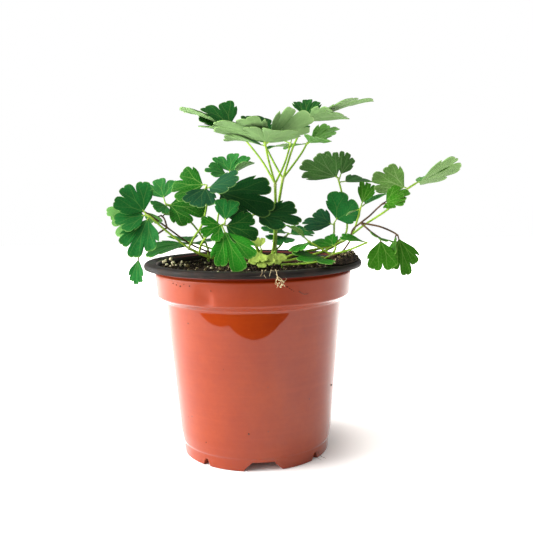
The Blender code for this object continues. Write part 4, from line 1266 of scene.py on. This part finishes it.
for number, leaf in enumerate(LEAVES):
    x, y, z = leaf.stem[0]
    route = [Vector((x, y, z - STEM_DEPTH))] + smooth_route(leaf.stem, 6)
    lines = [tapered(route, leaf.radius, leaf.radius * STEM_TAPER, 1.25)]
    branch = min(leaf.radius, BRANCH_RADIUS)
    for spray in leaf.sprays:
        lines.append(tapered(smooth_route(spray.route, 6), branch, branch * STEM_TAPER, 1.2))
    start = new_lines("stem_start", lines + stem_lines[leaf.name])
    stems = grown(leaf.name + "_stems", start, stem_tree, sides=10, hair_density=900000,
                  hair_length=0.9 * MM, hair_radius=0.025 * MM, seed=20 + number,
                  finish=brown_stem if leaf.brown else green_stem)
    settle(stems, "columbine_leaf", leaf.name)

# %% [markdown]
# ### Grains, fibres and a root tuft
# Cream grains of perlite lie in the soil at the left, and the heap and the front lip carry bits of root.
# Each grain is a rough ball. Fibres and roots are thin lines, swept by the same tree as the stems but
# without hairs. A tuft of fine roots with crumbs in it hangs over the lip at the front.

# %% Perlite
BALL_RINGS = 6
BALL_SIDES = 9
perlite = gritty("perlite", paint(150, 136, 96), paint(232, 226, 190), 700, 0.85, 1800, 0.0003, 0.6)


def ball(centre, size, chance):
    """The points and faces of a rough ball: rings of points with uneven radii."""
    stretch = [chance.uniform(0.7, 1.15) for _ in range(3)]
    rings = []
    for ring in range(1, BALL_RINGS):
        tall = math.pi * ring / BALL_RINGS
        spots = []
        for side in range(BALL_SIDES):
            turn = math.tau * side / BALL_SIDES
            radius = size / 2 * chance.uniform(0.82, 1.1)
            way = (math.sin(tall) * math.cos(turn), math.sin(tall) * math.sin(turn), math.cos(tall))
            spots.append([c + radius * w * k for c, w, k in zip(centre, way, stretch)])
        rings.append(spots)
    x, y, z = centre
    half = size / 2 * stretch[2]
    return closed_rings(rings, (x, y, z + half), (x, y, z - half))


def lumps(name, spots, finish, seed):
    """One piece of rough balls at (x, y, z, size)."""
    chance = random.Random(seed)
    points = []
    faces = []
    for x, y, z, size in spots:
        ball_points, ball_faces = ball((x, y, z), size, chance)
        faces += [[len(points) + corner for corner in face] for face in ball_faces]
        points += ball_points
    settle(new_piece(name, points, faces, (finish,)), "potting_soil")


PERLITE = [(-52.5, 0, 115, 2.4), (-49.5, 1, 115.8, 2.2), (-48, 0, 113.6, 2.6), (-51.6, -2, 112.9, 2.1),
           (-54, 1, 114.2, 2.0), (-49, -5, 112.2, 1.8), (-46, -3, 112.6, 1.5), (-43, 2, 113.8, 2.0),
           (-43.5, -2, 112.4, 1.7), (-41, 0, 112.2, 1.3), (-27, -5, 111.4, 1.6), (-24.5, -10, 111.3, 1.8),
           (-23.7, -29.7, 111.3, 1.5), (-19.7, -30.3, 111.4, 1.7), (-16.3, -30.8, 111.3, 1.4),
           (-12, -27, 111.6, 1.1), (-3, -14, 114, 1.3), (3, -17, 113.6, 1.2), (20, -36, 111.8, 1.1),
           (33, 20, 111.8, 1.9), (-18, 34, 111.6, 2.1), (5, 44, 111.2, 1.7), (-30, 18, 111.4, 1.8)]
lumps("perlite_grains", PERLITE, perlite, 31)

# %% Fibres in the soil and on the heap
FIBRES = 110
FIBRE_POINTS = 6
FIBRE_RISE = 0.3
pale_fibre = gritty("pale_root", paint(170, 146, 104), paint(222, 204, 160), 300, 0.85, 1600, 0.0002,
                    crisp=True)
dark_fibre = gritty("dark_root", paint(34, 24, 18), paint(74, 54, 38), 300, 0.85, 1600, 0.0002, crisp=True)


def fibre(start, length, radius, chance):
    """A short wandering line that stays near the soil."""
    x, y = start
    turn = chance.uniform(0, math.tau)
    z = soil_height(x, y) + FIBRE_RISE
    line = []
    for step in range(FIBRE_POINTS):
        line.append(((x, y, z), radius * (1 - 0.12 * step)))
        turn += chance.uniform(-0.6, 0.6)
        x += math.cos(turn) * length / (FIBRE_POINTS - 1)
        y += math.sin(turn) * length / (FIBRE_POINTS - 1)
        z = soil_height(x, y) + FIBRE_RISE + chance.uniform(0, 0.8)
    return line


def threads(name, lines, sides, finish):
    """One piece of thin threads, swept like the stems but without hairs."""
    start = new_lines("thread_start", lines)
    piece = grown(name, start, stem_tree, sides=sides, hair_density=0, hair_length=MM, hair_radius=MM,
                  seed=1, finish=finish)
    settle(piece, "potting_soil")


chance = random.Random(77)
groups = {"pale_fibres": [], "dark_fibres": []}
for index in range(FIBRES):
    if index % 2:
        angle, radius = chance.uniform(45, 108), chance.uniform(52, 60)
    else:
        angle, radius = chance.uniform(-180, 180), 52 * math.sqrt(chance.random())
    group = groups["pale_fibres" if chance.random() < 0.6 else "dark_fibres"]
    group.append(fibre(polar(angle, radius), chance.uniform(2.5, 6), chance.uniform(0.1, 0.2), chance))
threads("pale_fibres", groups["pale_fibres"], 5, pale_fibre)
threads("dark_fibres", groups["dark_fibres"], 5, dark_fibre)

# %% Root tuft over the lip, and bits stuck to the pot
def hung(route, radius):
    """A smooth line through a route, thinner at its end."""
    return tapered(smooth_route(route, 5), radius, radius * 0.4, 1)


ROOTS = [([(9, -52, 112.5), (9.4, -58, 115.6), (9, -63.6, 115.3), (8.2, -64.7, 113)], 0.16),
         ([(11, -54, 112.5), (11.6, -60, 115.7), (12, -64.2, 114.6), (12.4, -64.4, 111)], 0.18),
         ([(12, -64.3, 114), (12.8, -64.5, 111.6), (14.4, -62.8, 109.6), (14, -62.2, 107.2)], 0.2),
         ([(12.2, -64, 113), (14.6, -63.6, 111), (15.4, -62.6, 108.6), (16.4, -61.6, 107)], 0.16),
         ([(12.4, -64, 112), (11.6, -62.6, 110), (13, -61.6, 108), (12, -61, 106.6)], 0.16),
         ([(13, -63.4, 111), (16, -63, 110.2), (17, -62, 111.4), (15.4, -62.4, 112)], 0.14),
         ([(13.4, -63, 109.4), (11.2, -62.6, 108.6), (12.4, -62, 110.8), (14.6, -62.6, 110)], 0.14),
         ([(4.6, -57, 115.4), (4.6, -62, 115.6), (4.2, -64.6, 114), (2.6, -64.6, 112.2)], 0.13),
         ([(7, -55, 115.2), (6.2, -61, 115.5), (5.6, -64.7, 113.6), (6.6, -64.6, 112)], 0.12)]
threads("root_tuft", [hung(*root) for root in ROOTS], 6, pale_fibre)
TUFT = [(13.4, -62.8, 109.2, 1.3), (14.8, -62.6, 108.4, 1.5), (12.6, -62.4, 108, 1.1),
        (14, -62.2, 107.2, 1.2), (15.6, -62.4, 109.6, 1.0), (13.2, -63.2, 110.8, 1.0),
        (12.2, -63.8, 112, 0.9), (16, -61.9, 107.6, 0.8)]
lumps("tuft_crumbs", TUFT, pale_crumb, 32)


def pot_radius(z):
    """The pot's outside radius at this height, on its collar or its body."""
    if z > COLLAR_FOOT_Z:
        return between((z - COLLAR_FOOT_Z) / (COLLAR_TOP_Z - COLLAR_FOOT_Z), COLLAR_FOOT_RADIUS,
                       COLLAR_TOP_RADIUS)
    return between((z - BODY_LOW_Z) / (BODY_TOP_Z - BODY_LOW_Z), BODY_LOW_RADIUS, BODY_TOP_RADIUS)


stuck = []
for places in ([(24.5, 103.2), (26, 102), (28, 101.2), (30.2, 101.4)], [(-23, 104.6), (-22.6, 103.6)]):
    route = [(*polar(angle, pot_radius(z) + 0.12), z) for angle, z in places]
    stuck.append(tapered(smooth_route(route, 5), 0.17, 0.1, 1))
stuck.append(hung([(36, -26.6, 4.2), (36.6, -27.6, 3), (38.2, -28, 1.4), (40.6, -27.6, 0.3)], 0.16))
stuck.append(hung([(35.4, -26.4, 4.6), (34.6, -28.6, 3.8), (35.4, -29.8, 1.6), (37.6, -30.4, 0.3)], 0.13))
threads("stuck_fibres", stuck, 6, dark_fibre)

# Specks of dirt on the pot: angle, height and size
SPECKS = [(-44, 84, 0.7), (32, 80, 0.5), (-5, 23, 0.9), (-55, 27, 0.6), (-38, 15, 0.6), (66, 42, 1.3),
          (-49, 106.6, 0.8), (-46, 106, 0.6), (-43, 105.6, 0.9), (-40, 106.8, 0.5), (-36, 106.2, 0.7),
          (17.6, 106, 0.7), (19, 105, 0.5), (20.2, 104.2, 0.6), (21.4, 103.4, 0.4), (8, 50, 0.5),
          (-20, 60, 0.4)]
lumps("dirt_specks", [(*polar(angle, pot_radius(z)), z, size) for angle, z, size in SPECKS], earth, 33)
